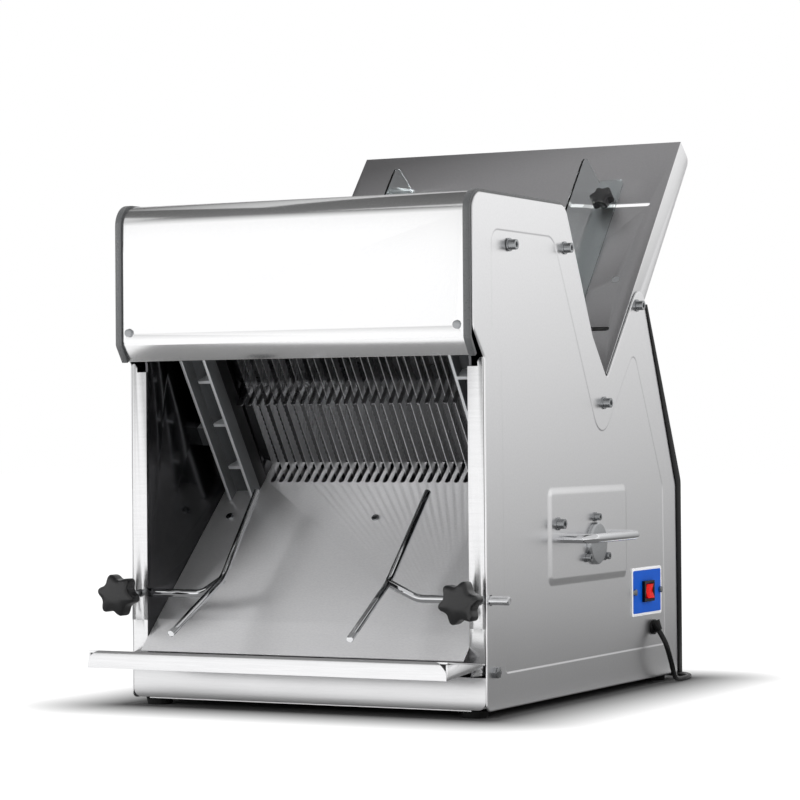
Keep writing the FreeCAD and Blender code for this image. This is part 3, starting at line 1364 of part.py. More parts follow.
def coil_piece(start, heading):
    """The spare lead: a flat spiral inward, half a turn up, and out again on top."""
    wire = sheet.cord_diameter
    pitch = wire + sheet.coil_gap
    across = Z_AXIS.cross(heading).normalize()
    centre = start + heading * wire * 1.2 + across * -sheet.coil_radius

    def place(radius, angle, lift):
        """A point of the coil; angle zero is where the lead arrives, turning clockwise."""
        way = across * math.cos(angle) + heading * math.sin(angle)
        return centre + way * radius + Z_AXIS * lift

    halves = 2 * COIL_TURNS
    spots = []
    for k in range(halves + 1):
        spots.append((sheet.coil_radius - pitch / 2 * k, math.pi * k, 0.0))
    inner = spots[-1][0]
    spots.append((inner, math.pi * (halves + 0.5), pitch / 2))
    spots.append((inner, math.pi * (halves + 1), pitch))
    for k in range(1, halves):
        spots.append((inner + pitch / 2 * k, math.pi * (halves + 1 + k), pitch))
    points = []
    tangents = []
    for i, (radius, angle, lift) in enumerate(spots):
        points.append(place(radius, angle, lift))
        way = across * -math.sin(angle) + heading * math.cos(angle)
        climbing = 0 < lift < pitch
        slope = pitch / (math.pi * radius) * 1.4 if climbing else 0.0
        tangents.append((way + Z_AXIS * slope).normalize())
    edges = [Part.LineSegment(start, points[0]).toShape()]
    for i in range(len(points) - 1):
        edges += biarc(points[i], tangents[i], points[i + 1], tangents[i + 1])
    # the outer end runs on beside the coil and rises to the plug
    leave = tangents[-1]
    last = points[-1]
    ahead = last + leave * 58 + Z_AXIS * (PLUG_RADIUS - last.z)
    edges += biarc(last, leave, ahead, leave)
    finish = ahead + leave * wire
    edges.append(Part.LineSegment(ahead, finish).toShape())
    tube = pipe(edges, wire / 2, start, heading)
    length = sum(e.Length for e in edges)
    print("coil length", round(length, 1), "volume ratio",
          round(tube.Volume / (math.pi * wire ** 2 / 4 * length), 4))
    print("coil least gap", round(least_gap(edges, wire), 2))
    node(feature("coil", tube), "cord_coil")
    return finish, leave


def least_gap(edges, wire):
    """The smallest distance between turns, measured on points along the tube's middle."""
    samples = []
    run = 0.0
    for edge in edges:
        steps = max(2, int(edge.Length / 3))
        ordered = [edge.valueAt(edge.FirstParameter + (edge.LastParameter - edge.FirstParameter) * k / steps)
                   for k in range(steps + 1)]
        if samples and ordered[-1].distanceToPoint(samples[-1][0]) < ordered[0].distanceToPoint(samples[-1][0]):
            ordered.reverse()
        for k, p in enumerate(ordered):
            samples.append((p, run + edge.Length * k / steps))
        run += edge.Length
    gap = 1e9
    for i, (p, a) in enumerate(samples):
        for q, b in samples[i + 1:]:
            if b - a > 6 * wire:
                gap = min(gap, p.distanceToPoint(q) - wire)
    return gap


PLUG_RADIUS = 17.0


def plug_piece(start, heading):
    """A two-pin mains plug lying on its side."""
    level = V(heading.x, heading.y, 0).normalize()
    nose = Part.makeCone(5.2, 9, 16, start, level)
    body = Part.makeCone(13.5, PLUG_RADIUS, 10, start + level * 16, level)
    head = Part.makeCylinder(PLUG_RADIUS, 22, start + level * 26, level)
    across = Z_AXIS.cross(level)
    parts = [nose, body, head]
    for side_sign in (-9.5, 9.5):
        parts.append(Part.makeCylinder(2.4, 19.5, start + level * 47.5 + across * side_sign, level))
    node(feature("plug", fuse(parts)), "power_plug")


# Putting the machine together

def covers_and_walls():
    node(side_cover("side_cover_right", True), "side_cover_right")
    node(mirrored("side_cover_mirror", side_cover("side_cover_pressing", False)), "side_cover_left")
    right = feature("inner_wall", wall_shape(), plain)
    node(right, "inner_wall_right")
    node(mirrored("inner_wall_mirror", right), "inner_wall_left")


covers_and_walls()
base_pieces()
cross_bars()
side_bolts()
hood_pieces()
rear_pieces()
delivery_plate()
feed_plate()
upper_comb()
guide_pieces()
blade_pieces()
drive_pieces()
drawer_pieces()
front_shelf()
guide_rods()
feed_tray()
feed_guides()
handles()
switch_pieces()
panel_screws()
gland()
coil_start, coil_heading = cord_pieces()
plug_start, plug_heading = coil_piece(coil_start, coil_heading)
plug_piece(plug_start, plug_heading)

doc.recompute()
problems = [o.Name for o in doc.Objects if "Invalid" in o.State or "Error" in o.State]
for name, obj in nodes:
    if obj.Shape.isNull() or not obj.Shape.isValid():
        problems.append(name)
if problems:
    raise RuntimeError("not sound: " + ", ".join(problems))

os.makedirs("parts", exist_ok=True)
for name, obj in nodes:
    obj.Shape.exportStep(f"parts/{name}.step")
print(len(nodes), "nodes")
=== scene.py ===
import math

import bpy
from mathutils import Matrix, Vector

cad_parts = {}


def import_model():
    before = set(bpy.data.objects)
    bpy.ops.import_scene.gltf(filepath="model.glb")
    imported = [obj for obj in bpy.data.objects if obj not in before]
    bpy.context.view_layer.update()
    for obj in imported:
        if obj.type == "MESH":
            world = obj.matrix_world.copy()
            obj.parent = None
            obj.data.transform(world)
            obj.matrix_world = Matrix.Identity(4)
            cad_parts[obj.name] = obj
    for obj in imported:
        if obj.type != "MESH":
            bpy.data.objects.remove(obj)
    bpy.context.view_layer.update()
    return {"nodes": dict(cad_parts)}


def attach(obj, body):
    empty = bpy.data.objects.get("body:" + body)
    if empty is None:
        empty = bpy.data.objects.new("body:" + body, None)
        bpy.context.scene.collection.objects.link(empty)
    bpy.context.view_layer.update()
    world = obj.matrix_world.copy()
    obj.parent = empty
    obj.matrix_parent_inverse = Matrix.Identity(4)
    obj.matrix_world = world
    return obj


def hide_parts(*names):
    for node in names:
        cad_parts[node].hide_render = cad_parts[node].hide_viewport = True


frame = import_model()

# Driving sizes of the machine, in millimetres, as the construction has them

# from the front edge of the side covers, where "back" is zero, to the frame's origin
SHIFT = -257.156
HALF_BODY = 233.0
COVER_SHEET = 2.0
RECESS = 0.8
PAD_RISE = 2.4
# corners of the side covers' outline, back and height, and how far back its flat top ends
KINK = (299.6, 432.8)
MOUTH = (341.6, 382.5)
PEAK = (450.5, 509.556)
BEND = (574.0, 254.085)
BROW_TOP = 221.715
# where the blades cross the delivery plate, back and height
CROSS = (199.3, 267.983)
BLADE_LEAN = math.radians(33.94)
BLADE_PITCH = 12.0
BLADE_COUNT = 26
# lower end of the feed tray; its upper slot and its guides' studs, along and across it
TRAY_FOOT = (344.0, 388.5)
TRAY_RISE = math.radians(50.45)
SLOT_HIGH = 284.0
GUIDE_STUD = 154.0
ROD_HEIGHT = 131.5
ROD_KNOB_X = 222.3
# middle of the switch plate, back and height
SWITCH = (461.0, 118.0)


def mm(x, back, height):
    """Millimetres of the machine's own drawing, as a point in the frame's metres."""
    return Vector((x / 1000, (back + SHIFT) / 1000, height / 1000))


def on_side(side, out, back=0.0, height=0.0):
    """Stands a flat drawing in millimetres on its edge, facing out of one side of the machine."""
    return Matrix(((0, 0, side * 0.001, side * out / 1000), (0.001, 0, 0, (back + SHIFT) / 1000),
                   (0, 0.001, 0, height / 1000), (0, 0, 0, 1)))


def srgb(colour):
    """A hex colour as linear red, green, blue and full alpha."""
    parts = [int(colour[i:i + 2], 16) / 255 for i in (1, 3, 5)]
    linear = [c / 12.92 if c <= 0.04045 else ((c + 0.055) / 1.055) ** 2.4 for c in parts]
    return (*linear, 1.0)


# Materials

# ranges that hold nearly all values of a plain noise, of a finely detailed one, and of two added up
NOISE = (0.3, 0.7)
FINE_NOISE = (0.35, 0.65)
TWO_NOISES = (0.7, 1.3)
# strengths of a ground skin's scratches and of a moulded skin's grit
SCRATCHES = 0.35
GRIT = 0.5
# share by which a moulded skin's roughness goes up and down
UNEVEN = 0.15

# grains, as spots to a millimetre along X, back and up: a real ground line is about 0.1 mm wide,
# and these are drawn 1 to 3 mm wide, so that the render can show them
EVEN = (0.4, 0.4, 0.4)
DULL = (0.3, 0.3, 0.3)
GROUND_ALONG_X = (0.02, 0.5, 0.5)
ROLLED_BACK = (0.5, 0.02, 0.5)
DRAWN_ALONG_X = (0.02, 0.6, 0.6)
GROUND_UP = (0.7, 0.7, 0.02)
BEADS = (0.3, 0.9, 0.9)
WAVES = (0.02, 0.02, 0.02)
CLOUDS = (0.012, 0.012, 0.012)
ACRYLIC_CLOUDS = (0.05, 0.05, 0.05)


def new_material(name):
    """A material with its node tree and its shader."""
    material = bpy.data.materials.new(name)
    material.use_nodes = True
    tree = material.node_tree
    return material, tree, tree.nodes["Principled BSDF"]


def add(tree, kind, settings=None, inputs=None):
    """One node, with its settings and with its inputs set or linked."""
    made = tree.nodes.new(kind)
    for key, setting in (settings or {}).items():
        setattr(made, key, setting)
    for key, given in (inputs or {}).items():
        socket = made.inputs[key]
        if isinstance(given, bpy.types.NodeSocket):
            tree.links.new(given, socket)
        else:
            socket.default_value = given
    return made


def place(tree, grain, turn=(0, 0, 0)):
    """Object coordinates in millimetres, scaled to a grain."""
    where = add(tree, "ShaderNodeTexCoord")
    scale = tuple(1000 * spots for spots in grain)
    return add(tree, "ShaderNodeMapping", None, {
        "Vector": where.outputs["Object"], "Scale": scale, "Rotation": turn}).outputs["Vector"]


def ramp(tree, factor, low, high, start=0.0, end=1.0):
    """A number that runs from low to high as the factor goes from start to end."""
    made = add(tree, "ShaderNodeMapRange", {"clamp": True}, {
        "Value": factor, "From Min": start, "From Max": end, "To Min": low, "To Max": high})
    return made.outputs["Result"]


def shade(tree, factor, dark, light):
    """A colour between two hex colours."""
    return add(tree, "ShaderNodeMix", {"data_type": "RGBA"}, {
        0: factor, 6: srgb(dark), 7: srgb(light)}).outputs[2]


def bump(tree, shader, height, strength, depth):
    """Relief of a given depth in millimetres."""
    made = add(tree, "ShaderNodeBump", None, {"Height": height, "Strength": strength, "Distance": depth / 1000})
    tree.links.new(made.outputs["Normal"], shader.inputs["Normal"])


def brushed(name, dark, light, rough, grain, turn=(0, 0, 0), relief=0.0005, spread=0.02, metallic=1.0):
    """Sheet steel with a fine grain, drawn out or even, that varies its gloss and tint."""
    material, tree, shader = new_material(name)
    lines = add(tree, "ShaderNodeTexNoise", None, {
        "Vector": place(tree, grain, turn), "Scale": 1.0, "Detail": 6.0, "Roughness": 0.65}).outputs["Fac"]
    cloud = add(tree, "ShaderNodeTexNoise", None, {
        "Vector": place(tree, CLOUDS), "Scale": 1.0, "Detail": 2.0}).outputs["Fac"]
    tint = shade(tree, ramp(tree, lines, 0.0, 1.0, *FINE_NOISE), dark, light)
    tree.links.new(tint, shader.inputs["Base Color"])
    both = add(tree, "ShaderNodeMath", {"operation": "ADD"}, {0: lines, 1: cloud}).outputs[0]
    gloss = ramp(tree, both, rough - spread, rough + spread, *TWO_NOISES)
    tree.links.new(gloss, shader.inputs["Roughness"])
    shader.inputs["Metallic"].default_value = metallic
    bump(tree, shader, lines, SCRATCHES, relief)
    return material


def plain(name, colour, rough, metallic=0.0, grit=0.0, grit_size=1.0, coat=0.0, ior=1.5):
    """A moulded, cast or painted skin with a little unevenness of the given grain size in millimetres."""
    material, tree, shader = new_material(name)
    noise = add(tree, "ShaderNodeTexNoise", None, {
        "Vector": place(tree, (1 / grit_size,) * 3), "Scale": 1.0, "Detail": 3.0,
        "Roughness": 0.6}).outputs["Fac"]
    shader.inputs["Base Color"].default_value = srgb(colour)
    gloss = ramp(tree, noise, rough * (1 - UNEVEN), rough * (1 + UNEVEN), *NOISE)
    tree.links.new(gloss, shader.inputs["Roughness"])
    shader.inputs["Metallic"].default_value = metallic
    shader.inputs["IOR"].default_value = ior
    shader.inputs["Coat Weight"].default_value = coat
    if grit:
        bump(tree, shader, noise, GRIT, grit)
    return material


# Satin stainless sheet of the covers: an even fine grain, soft reflections without streaks
SATIN = brushed("satin_stainless_sheet", "#eaeaeb", "#efeff0", 0.3, EVEN, relief=0.001)
# Bright annealed stainless of the hood: near mirror, nearly no grain
BRIGHT = brushed("bright_annealed_stainless", "#ededee", "#f1f1f1", 0.16, ROLLED_BACK)
# Finely ground sheet of the front shelf and the inner walls' front flanges: bright, softly mirroring
FACE = brushed("fine_ground_stainless", "#e1e1e2", "#e7e7e8", 0.24, GROUND_ALONG_X)
# Sheet of the drawer and the tray's flanks, ground a little coarser, so duller; on the tray's flanks its
# lighter grey against the darker bed is a painted highlight
GROUND = brushed("cross_ground_stainless", "#dcdcdd", "#e2e2e3", 0.3, GROUND_ALONG_X)
# Polished inner walls and throat plates: slightly wavy reflections, on a base greyed far below bright stainless
# as painted shade of the dark inside
SHADED_MIRROR = brushed("polished_stainless_painted_shade", "#58585a", "#636365", 0.15, WAVES, relief=0.006, spread=0.03)
# Glass-bead blasted plate under the slices: fine specks, soft dim mirror images of the rods
BLASTED = brushed("bead_blasted_stainless", "#dcdcde", "#e6e6e7", 0.32, BEADS, relief=0.0008, spread=0.03,
                  metallic=0.6)
# Rolled matt sheet of the feed tray: even and without clear reflections
TRAY = brushed("matt_rolled_stainless", "#acabad", "#b2b1b3", 0.46, EVEN)
# Dull mill-finish sheet of the upper comb
MILL = brushed("mill_finish_stainless", "#8e8e90", "#98989a", 0.3, DULL, relief=0.001, spread=0.04)
# The same sheet behind the blades, painted darker: painted shade, since it lies in shade behind them
SHADED_MILL = brushed("mill_finish_painted_shade", "#58585a", "#646466", 0.3, DULL, relief=0.001, spread=0.04)
# Hardened blade strip, ground along its length
BLADE = brushed("hardened_blade_strip", "#dcdcdd", "#eeeeef", 0.3, GROUND_UP, turn=(-BLADE_LEAN, 0, 0),
                relief=0.004, spread=0.08)
# Cold-drawn steel bars of the blade frames, with lines along them
DRAWN = brushed("cold_drawn_steel", "#8f9092", "#a9aaac", 0.33, DRAWN_ALONG_X, relief=0.004, spread=0.08)
# Bright chromium plating on the round rods and handles
CHROME = plain("chromium_plating", "#dcdddf", 0.09, metallic=1.0)
# Zinc-plated screws: a little duller than chrome
ZINC = plain("zinc_plated_steel", "#9c9ea0", 0.16, metallic=1.0, grit=0.01, grit_size=0.8)
# Sand-cast aluminium of the guide rails: light grey, open grain
CAST = plain("sand_cast_aluminium", "#7e8082", 0.46, metallic=0.6, grit=0.06, grit_size=1.1)
# The rails' ribs and outer edges: the same cast aluminium painted lighter, a painted highlight where the front
# light falls
LIT_CAST = plain("cast_aluminium_painted_highlight", "#d8dadc", 0.4, metallic=0.5, grit=0.01, grit_size=0.6)
# The bottoms of the rails' pockets: the same cast aluminium painted darker, painted shade in the recesses
POCKET_SHADE = plain("cast_aluminium_painted_shade", "#505254", 0.5, metallic=0.5, grit=0.06, grit_size=1.1)
# Turned aluminium caps and pulleys: clean and satin
TURNED = plain("turned_aluminium", "#b9bbbd", 0.3, metallic=1.0, grit=0.01, grit_size=0.6)
# Glossy phenolic star knobs
PHENOLIC = plain("moulded_phenolic", "#161617", 0.22, grit=0.01, grit_size=1.5)
# Soft PVC edge trims: black at the rear; on the hood a dark grey base with a satin gloss, a painted sheen of
# the front light on the black trim
TRIM = plain("extruded_black_pvc", "#080809", 0.42, grit=0.01, grit_size=2.0, ior=1.25)
HOOD_TRIM = plain("extruded_pvc_painted_sheen", "#4c4d4e", 0.3, grit=0.01, grit_size=2.0)
# Black acetal slide strips: waxy and half dull
ACETAL = plain("black_acetal", "#191a1b", 0.4, grit=0.01, grit_size=1.2)
# Nitrile rubber feet and belt: dull black
RUBBER = plain("black_nitrile_rubber", "#121212", 0.6, grit=0.03, grit_size=0.9, ior=1.3)
# Flexible PVC jacket of the lead and the plug: black with a soft shine
JACKET = plain("flexible_pvc_jacket", "#0c0c0d", 0.22, grit=0.01, grit_size=1.5, ior=1.35)
# Blue and white baked enamel of the switch plate
ENAMEL_BLUE = plain("blue_baked_enamel", "#0553bd", 0.4, grit=0.01, grit_size=1.5, ior=1.2)
ENAMEL_WHITE = plain("white_baked_enamel", "#e9e9ea", 0.3, grit=0.01, grit_size=1.5)
# Glossy polycarbonate: black on the rocker switch's body and the cable gland, red on the rocker
SHELL = plain("black_polycarbonate", "#0c0c0d", 0.25, ior=1.3)
ROCKER = plain("red_polycarbonate", "#dc0c06", 0.25, ior=1.2)
# Grey hammer paint on the motor: a dimpled gloss
MOTOR_PAINT = plain("grey_hammer_paint", "#4c5258", 0.35, grit=0.15, grit_size=2.5, coat=0.2)


def cast_acrylic():
    """Clear cast acrylic sheet: so thin that it hardly bends the view, with glossy edges."""
    material, tree, shader = new_material("clear_cast_acrylic")
    noise = add(tree, "ShaderNodeTexNoise", None, {
        "Vector": place(tree, ACRYLIC_CLOUDS), "Scale": 1.0, "Detail": 2.0}).outputs["Fac"]
    tree.links.new(ramp(tree, noise, 0.02, 0.06, *NOISE), shader.inputs["Roughness"])
    shader.inputs["Base Color"].default_value = srgb("#f4f8f8")
    shader.inputs["IOR"].default_value = 1.12
    shader.inputs["Transmission Weight"].default_value = 1.0
    return material


ACRYLIC = cast_acrylic()


# Modelling helpers

# distances within which two points are one, or a point lies on a level, in a drawing's millimetres
SAME_CORNER = 1e-4
SAME_PLACE = 0.01
LEVEL = 1e-3
# edges at least this sharp are broken, and faces that meet less sharply are shaded as one
SHARP = math.radians(40)
SMOOTH = 40.0
# for the construction's nodes, in metres and degrees: points this close are one, faces this level
# with each other are one, and faces up to the last angle are shaded as one
NODE_POINT = 1e-5
NODE_FLAT = math.radians(0.5)
NODE_SMOOTH = 35.0


def only(piece):
    """Makes one object the selected and active one."""
    if bpy.context.object and bpy.context.object.mode != "OBJECT":
        bpy.ops.object.mode_set(mode="OBJECT")
    bpy.ops.object.select_all(action="DESELECT")
    piece.select_set(True)
    bpy.context.view_layer.objects.active = piece


def edit(piece, kind="VERT", all_on=False):
    """Enters edit mode with nothing or everything selected."""
    only(piece)
    bpy.ops.object.mode_set(mode="EDIT")
    bpy.ops.mesh.select_mode(type=kind)
    bpy.ops.mesh.select_all(action="SELECT" if all_on else "DESELECT")


def leave():
    """Goes back to object mode."""
    bpy.ops.object.mode_set(mode="OBJECT")


def choose(piece, kind, test):
    """Selects the vertices, edges or faces for which test is true, in edit mode."""
    edit(piece, kind)
    leave()
    mesh = piece.data
    for item in {"VERT": mesh.vertices, "EDGE": mesh.edges, "FACE": mesh.polygons}[kind]:
        item.select = bool(test(item))
    bpy.ops.object.mode_set(mode="EDIT")


def modify(piece, kind, **settings):
    """Adds one modifier and applies it."""
    only(piece)
    made = piece.modifiers.new(kind.lower(), kind)
    for key, setting in settings.items():
        setattr(made, key, setting)
    bpy.ops.object.modifier_apply(modifier=made.name)


def break_edges(piece, width, segments):
    """Rounds the sharp edges, with the width in the piece's own units."""
    modify(piece, "BEVEL", width=width, segments=segments, limit_method="ANGLE", angle_limit=SHARP)


def flip(piece):
    """Turns all faces of a piece round."""
    edit(piece, "FACE", True)
    bpy.ops.mesh.flip_normals()
    leave()


def join(*pieces):
    """Makes one object of several, under the name of the first."""
    only(pieces[0])
    for piece in pieces[1:]:
        piece.select_set(True)
    bpy.ops.object.join()
    return pieces[0]


def settle(piece, name, material, body, nodes=(), matrix=None, angle=SMOOTH):
    """Finishes a piece: its place goes into its mesh, and it gets its finish and its body."""
    only(piece)
    bpy.ops.object.transform_apply(location=True, rotation=True, scale=True)
    if matrix is not None:
        piece.data.transform(matrix)
    bpy.ops.object.shade_smooth_by_angle(angle=math.radians(angle))
    piece.name = name
    piece.data.name = name
    piece.data.materials.clear()
    piece.data.materials.append(material)
    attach(piece, body)
    if nodes:
        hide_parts(*nodes)
    return piece


def polygon(corners, segments=8):
    """A flat face looking up, with rounded corners given as (u, v, radius) in millimetres."""
    count = len(corners)
    if sum(corners[i - 1][0] * corners[i][1] - corners[i][0] * corners[i - 1][1] for i in range(count)) < 0:
        corners = corners[::-1]
    places = [Vector((u, v, 0)) for u, v, _ in corners]
    bpy.ops.mesh.primitive_circle_add(vertices=count, radius=1, fill_type="NGON")
    piece = bpy.context.object
    for vertex, spot in zip(piece.data.vertices, places):
        vertex.co = spot
    for i, (_, _, radius) in enumerate(corners):
        here = places[i]
        before = places[i - 1] - here
        after = places[(i + 1) % count] - here
        reach = radius / math.tan(before.angle(after) / 2)
        choose(piece, "VERT", lambda vertex: (vertex.co - here).length < SAME_CORNER)
        bpy.ops.mesh.bevel(offset=reach, segments=segments, affect="VERTICES", profile=0.5)
        leave()
    return piece


def dressed(node, material, width, body="machine"):
    """A CAD node's own form with its edges broken, as deburring leaves them; the width is in millimetres."""
    source = frame["nodes"][node]
    piece = source.copy()
    piece.data = source.data.copy()
    bpy.context.collection.objects.link(piece)
    edit(piece, "VERT", True)
    bpy.ops.mesh.remove_doubles(threshold=NODE_POINT)
    bpy.ops.mesh.dissolve_limited(angle_limit=NODE_FLAT)
    leave()
    if width:
        break_edges(piece, width / 1000, 2)
    return settle(piece, node + "_deburred", material, body, [node], angle=NODE_SMOOTH)


def coat(material, *names):
    """Gives CAD nodes that stay as they are their finish."""
    for name in names:
        node = frame["nodes"][name]
        node.data.materials.clear()
        node.data.materials.append(material)


# Side covers: pressed sheet with a sunk field and a raised square

# corners of the cover, of its sunk field and of its square: back, height and radius
SIDE = [(0, 8, 8), (0, 401, 8), (-28.7, 434, 14), (-28.7, 585, 20), (BROW_TOP, 585, 20),
        (*KINK, 3), (*MOUTH, 5), (*PEAK, 23), (*BEND, 20), (574, 8, 4)]
FIELD = [(46, 46.5, 8), (42, 404, 10), (17.5, 438, 10), (17.5, 547, 18), (187.5, 547, 26),
         (322, 303, 26), (427, 421, 14), (518, 249.1, 20), (522, 46.5, 8)]
SQUARE = [(164, 138, 12), (401, 138, 12), (401, 254, 12), (164, 254, 12)]
# hole of the loaf guide rod
ROD_HOLE = (10.0, ROD_HEIGHT)
ROD_HOLE_RADIUS = 6.2
# widths of the rings of a pressed step, and the share of its depth that each one takes
PRESSED = ((0.4, 0.0), (1.2, 0.12), (1.7, 0.38), (1.7, 0.38), (1.2, 0.12), (0.4, 0.0))
# how wide the steps of the square and of the field are, by those rings
SQUARE_STEP = 1.5
FIELD_STEP = 0.4
# flat band inside the outline, of which the bend of the edge takes the outer part
EDGE_BAND = 2.2
EDGE_BEND = 1.4


def press(piece, depth, widening):
    """Insets the piece's one face ring by ring, so that it sinks or rises softly."""
    choose(piece, "FACE", lambda f: True)
    for wide, share in PRESSED:
        bpy.ops.mesh.inset(thickness=wide * widening, depth=depth * share)


def near(point, other):
    """Whether two points lie on one spot of the drawing."""
    return abs(point.x - other.x) + abs(point.y - other.y) < SAME_PLACE


def fill_open(piece, height, skip=()):
    """Fills the flat region between the open loops of the piece at one height."""
    shared = {}
    for f in piece.data.polygons:
        for key in f.edge_keys:
            shared[key] = shared.get(key, 0) + 1
    spots = piece.data.vertices

    def is_open(e):
        low, high = (spots[k].co for k in e.vertices)
        return (shared.get(tuple(sorted(e.vertices)), 0) < 2 and abs(low.z - height) < LEVEL
                and abs(high.z - height) < LEVEL and not any(near(low, p) for p in skip))

    choose(piece, "EDGE", is_open)
    bpy.ops.mesh.fill(use_beauty=True)
    leave()


def pressed_cover(side, word):
    """One cover, drawn flat with its outside up and then stood on its edge."""
    square = polygon(SQUARE)
    press(square, PAD_RISE, SQUARE_STEP)
    leave()
    square.data.transform(Matrix.Translation((0, 0, -RECESS)))
    cover = polygon(FIELD)
    press(cover, -RECESS, FIELD_STEP)
    bpy.ops.mesh.delete(type="ONLY_FACE")
    leave()
    join(cover, square)
    fill_open(cover, -RECESS)
    skin = polygon(SIDE)
    rim = [v.co.copy() for v in skin.data.vertices]
    choose(skin, "FACE", lambda f: True)
    bpy.ops.mesh.inset(thickness=EDGE_BAND, depth=0)
    bpy.ops.mesh.delete(type="ONLY_FACE")
    leave()
    bpy.ops.mesh.primitive_circle_add(vertices=40, radius=ROD_HOLE_RADIUS, location=(*ROD_HOLE, 0))
    hole = bpy.context.object
    join(cover, skin, hole)
    fill_open(cover, 0.0, rim)
    edit(cover, "FACE", True)
    bpy.ops.mesh.normals_make_consistent(inside=False)
    leave()
    if sum(f.normal.z * f.area for f in cover.data.polygons) < 0:
        flip(cover)
    modify(cover, "SOLIDIFY", thickness=COVER_SHEET, offset=-1.0, use_rim=True)
    spots = cover.data.vertices
    choose(cover, "EDGE", lambda e: all(abs(spots[k].co.z) < LEVEL and any(near(spots[k].co, p) for p in rim)
                                        for k in e.vertices))
    bpy.ops.mesh.bevel(offset=EDGE_BEND, segments=4, affect="EDGES", profile=0.5)
    leave()
    # the left cover is a mirror image, whose faces would look inward
    if side < 0:
        flip(cover)
    settle(cover, f"side_cover_{word}_pressing", SATIN, "machine", [f"side_cover_{word}"],
           on_side(side, HALF_BODY))


# Blades with their toothed rear edges

IN_BLADES = Matrix.Translation(mm(0, *CROSS)) @ Matrix.Rotation(BLADE_LEAN, 4, "X") @ Matrix.Scale(0.001, 4)
# ends of a blade, measured along it from the crossing
BLADE_LOW, BLADE_HIGH = -50.0, 308.0
BLADE_THICKNESS = 0.7
# rows of points from a blade's straight edge to the tips of its teeth
BLADE_ROWS = (0.0, 3.0, 8.0, 12.0)
TOOTH = 7.0
TOOTH_DEPTH = 1.4
STEPS_PER_TOOTH = 6
# how far the tops of the two sets stand forward and back of the crossing's plane
BLADE_SPLAY = 3.2


def blade_offset(front, along):
    """How far back a blade's straight edge lies at a place along it."""
    lean = BLADE_SPLAY * (along - BLADE_LOW) / (BLADE_HIGH - BLADE_LOW)
    return -lean if front else lean


def blade(front):
    """One blade in its own frame: X across, Y to its teeth, Z along it."""
    last_row = len(BLADE_ROWS) - 1
    steps = int((BLADE_HIGH - BLADE_LOW) / TOOTH) * STEPS_PER_TOOTH
    bpy.ops.mesh.primitive_grid_add(x_subdivisions=last_row, y_subdivisions=steps, size=1)
    piece = bpy.context.object
    for v in piece.data.vertices:
        row = round((v.co.x + 0.5) * last_row)
        along = BLADE_LOW + (v.co.y + 0.5) * (BLADE_HIGH - BLADE_LOW)
        tooth = TOOTH_DEPTH * abs(math.sin(math.pi * along / TOOTH)) if row == last_row else 0.0
        v.co = (0, blade_offset(front, along) + (BLADE_ROWS[row] - tooth), along)
    modify(piece, "SOLIDIFY", thickness=BLADE_THICKNESS, offset=0.0)
    return piece


def blade_sets():
    """The blades, which belong to the rear and the front frame by turns."""
    for first, word in ((1, "front"), (0, "rear")):
        pattern = blade(word == "front")
        blades = []
        for k in range(first, BLADE_COUNT, 2):
            copy = pattern.copy()
            copy.data = pattern.data.copy()
            bpy.context.collection.objects.link(copy)
            copy.data.transform(Matrix.Translation(((k - (BLADE_COUNT - 1) / 2) * BLADE_PITCH, 0, 0)))
            blades.append(copy)
        bpy.data.objects.remove(pattern)
        settle(join(*blades), f"blades_{word}_toothed", BLADE, f"{word}_blade_set", [f"blades_{word}"],
               IN_BLADES, angle=30.0)


# Star knobs

# rings of a star knob from its underside to the middle of its face: distance in from
# the outline and height, both in millimetres for a knob of 50 mm
KNOB_RINGS = ((12.0, 0.0), (3.0, 0.0), (1.0, 0.5), (0.2, 1.8), (0.0, 4.0), (0.0, 10.0), (0.0, 15.4),
              (0.35, 17.2), (1.1, 18.6), (2.3, 19.5), (4.0, 20.1), (7.0, 20.7), (11.0, 21.1), (15.0, 21.3),
              (18.0, 21.4))
KNOB_RADIUS = 25.0
# radius in the valleys of the star, height of its lobes, how narrow they are, and their number
KNOB_VALLEY = 18.6
LOBE = 6.4
LOBE_SHARPNESS = 1.3
LOBES = 6
POINTS_ROUND_STAR = 120
# distance in from the outline at which the face has turned from a star to a circle
LOBE_FADE = 9.0
# a radius between the first and the second ring of the underside
UNDERSIDE = 13.5
# the loaf guide rods' knobs: back, and turn about their own axis; the tray's: size, and height over the tray
ROD_KNOB_BACK = -35.0
ROD_KNOB_TURN = math.radians(12)
TRAY_KNOB_SCALE = 0.64
TRAY_KNOB_LIFT = 9.0
# turned parts under a star: name, points round it, radius, length, middle of its length, width and
# segments of its broken edges, finish
ROD_SHANKS = (("boss", 40, 9, 10, -5, (0.8, 3), PHENOLIC), ("stud", 32, 4, 42, -20.5, (0.5, 2), ZINC))
TRAY_SHANKS = (("neck", 40, 7, 5.8, -2.9, None, PHENOLIC), ("screw", 32, 3, 15, -10.2, None, ZINC))


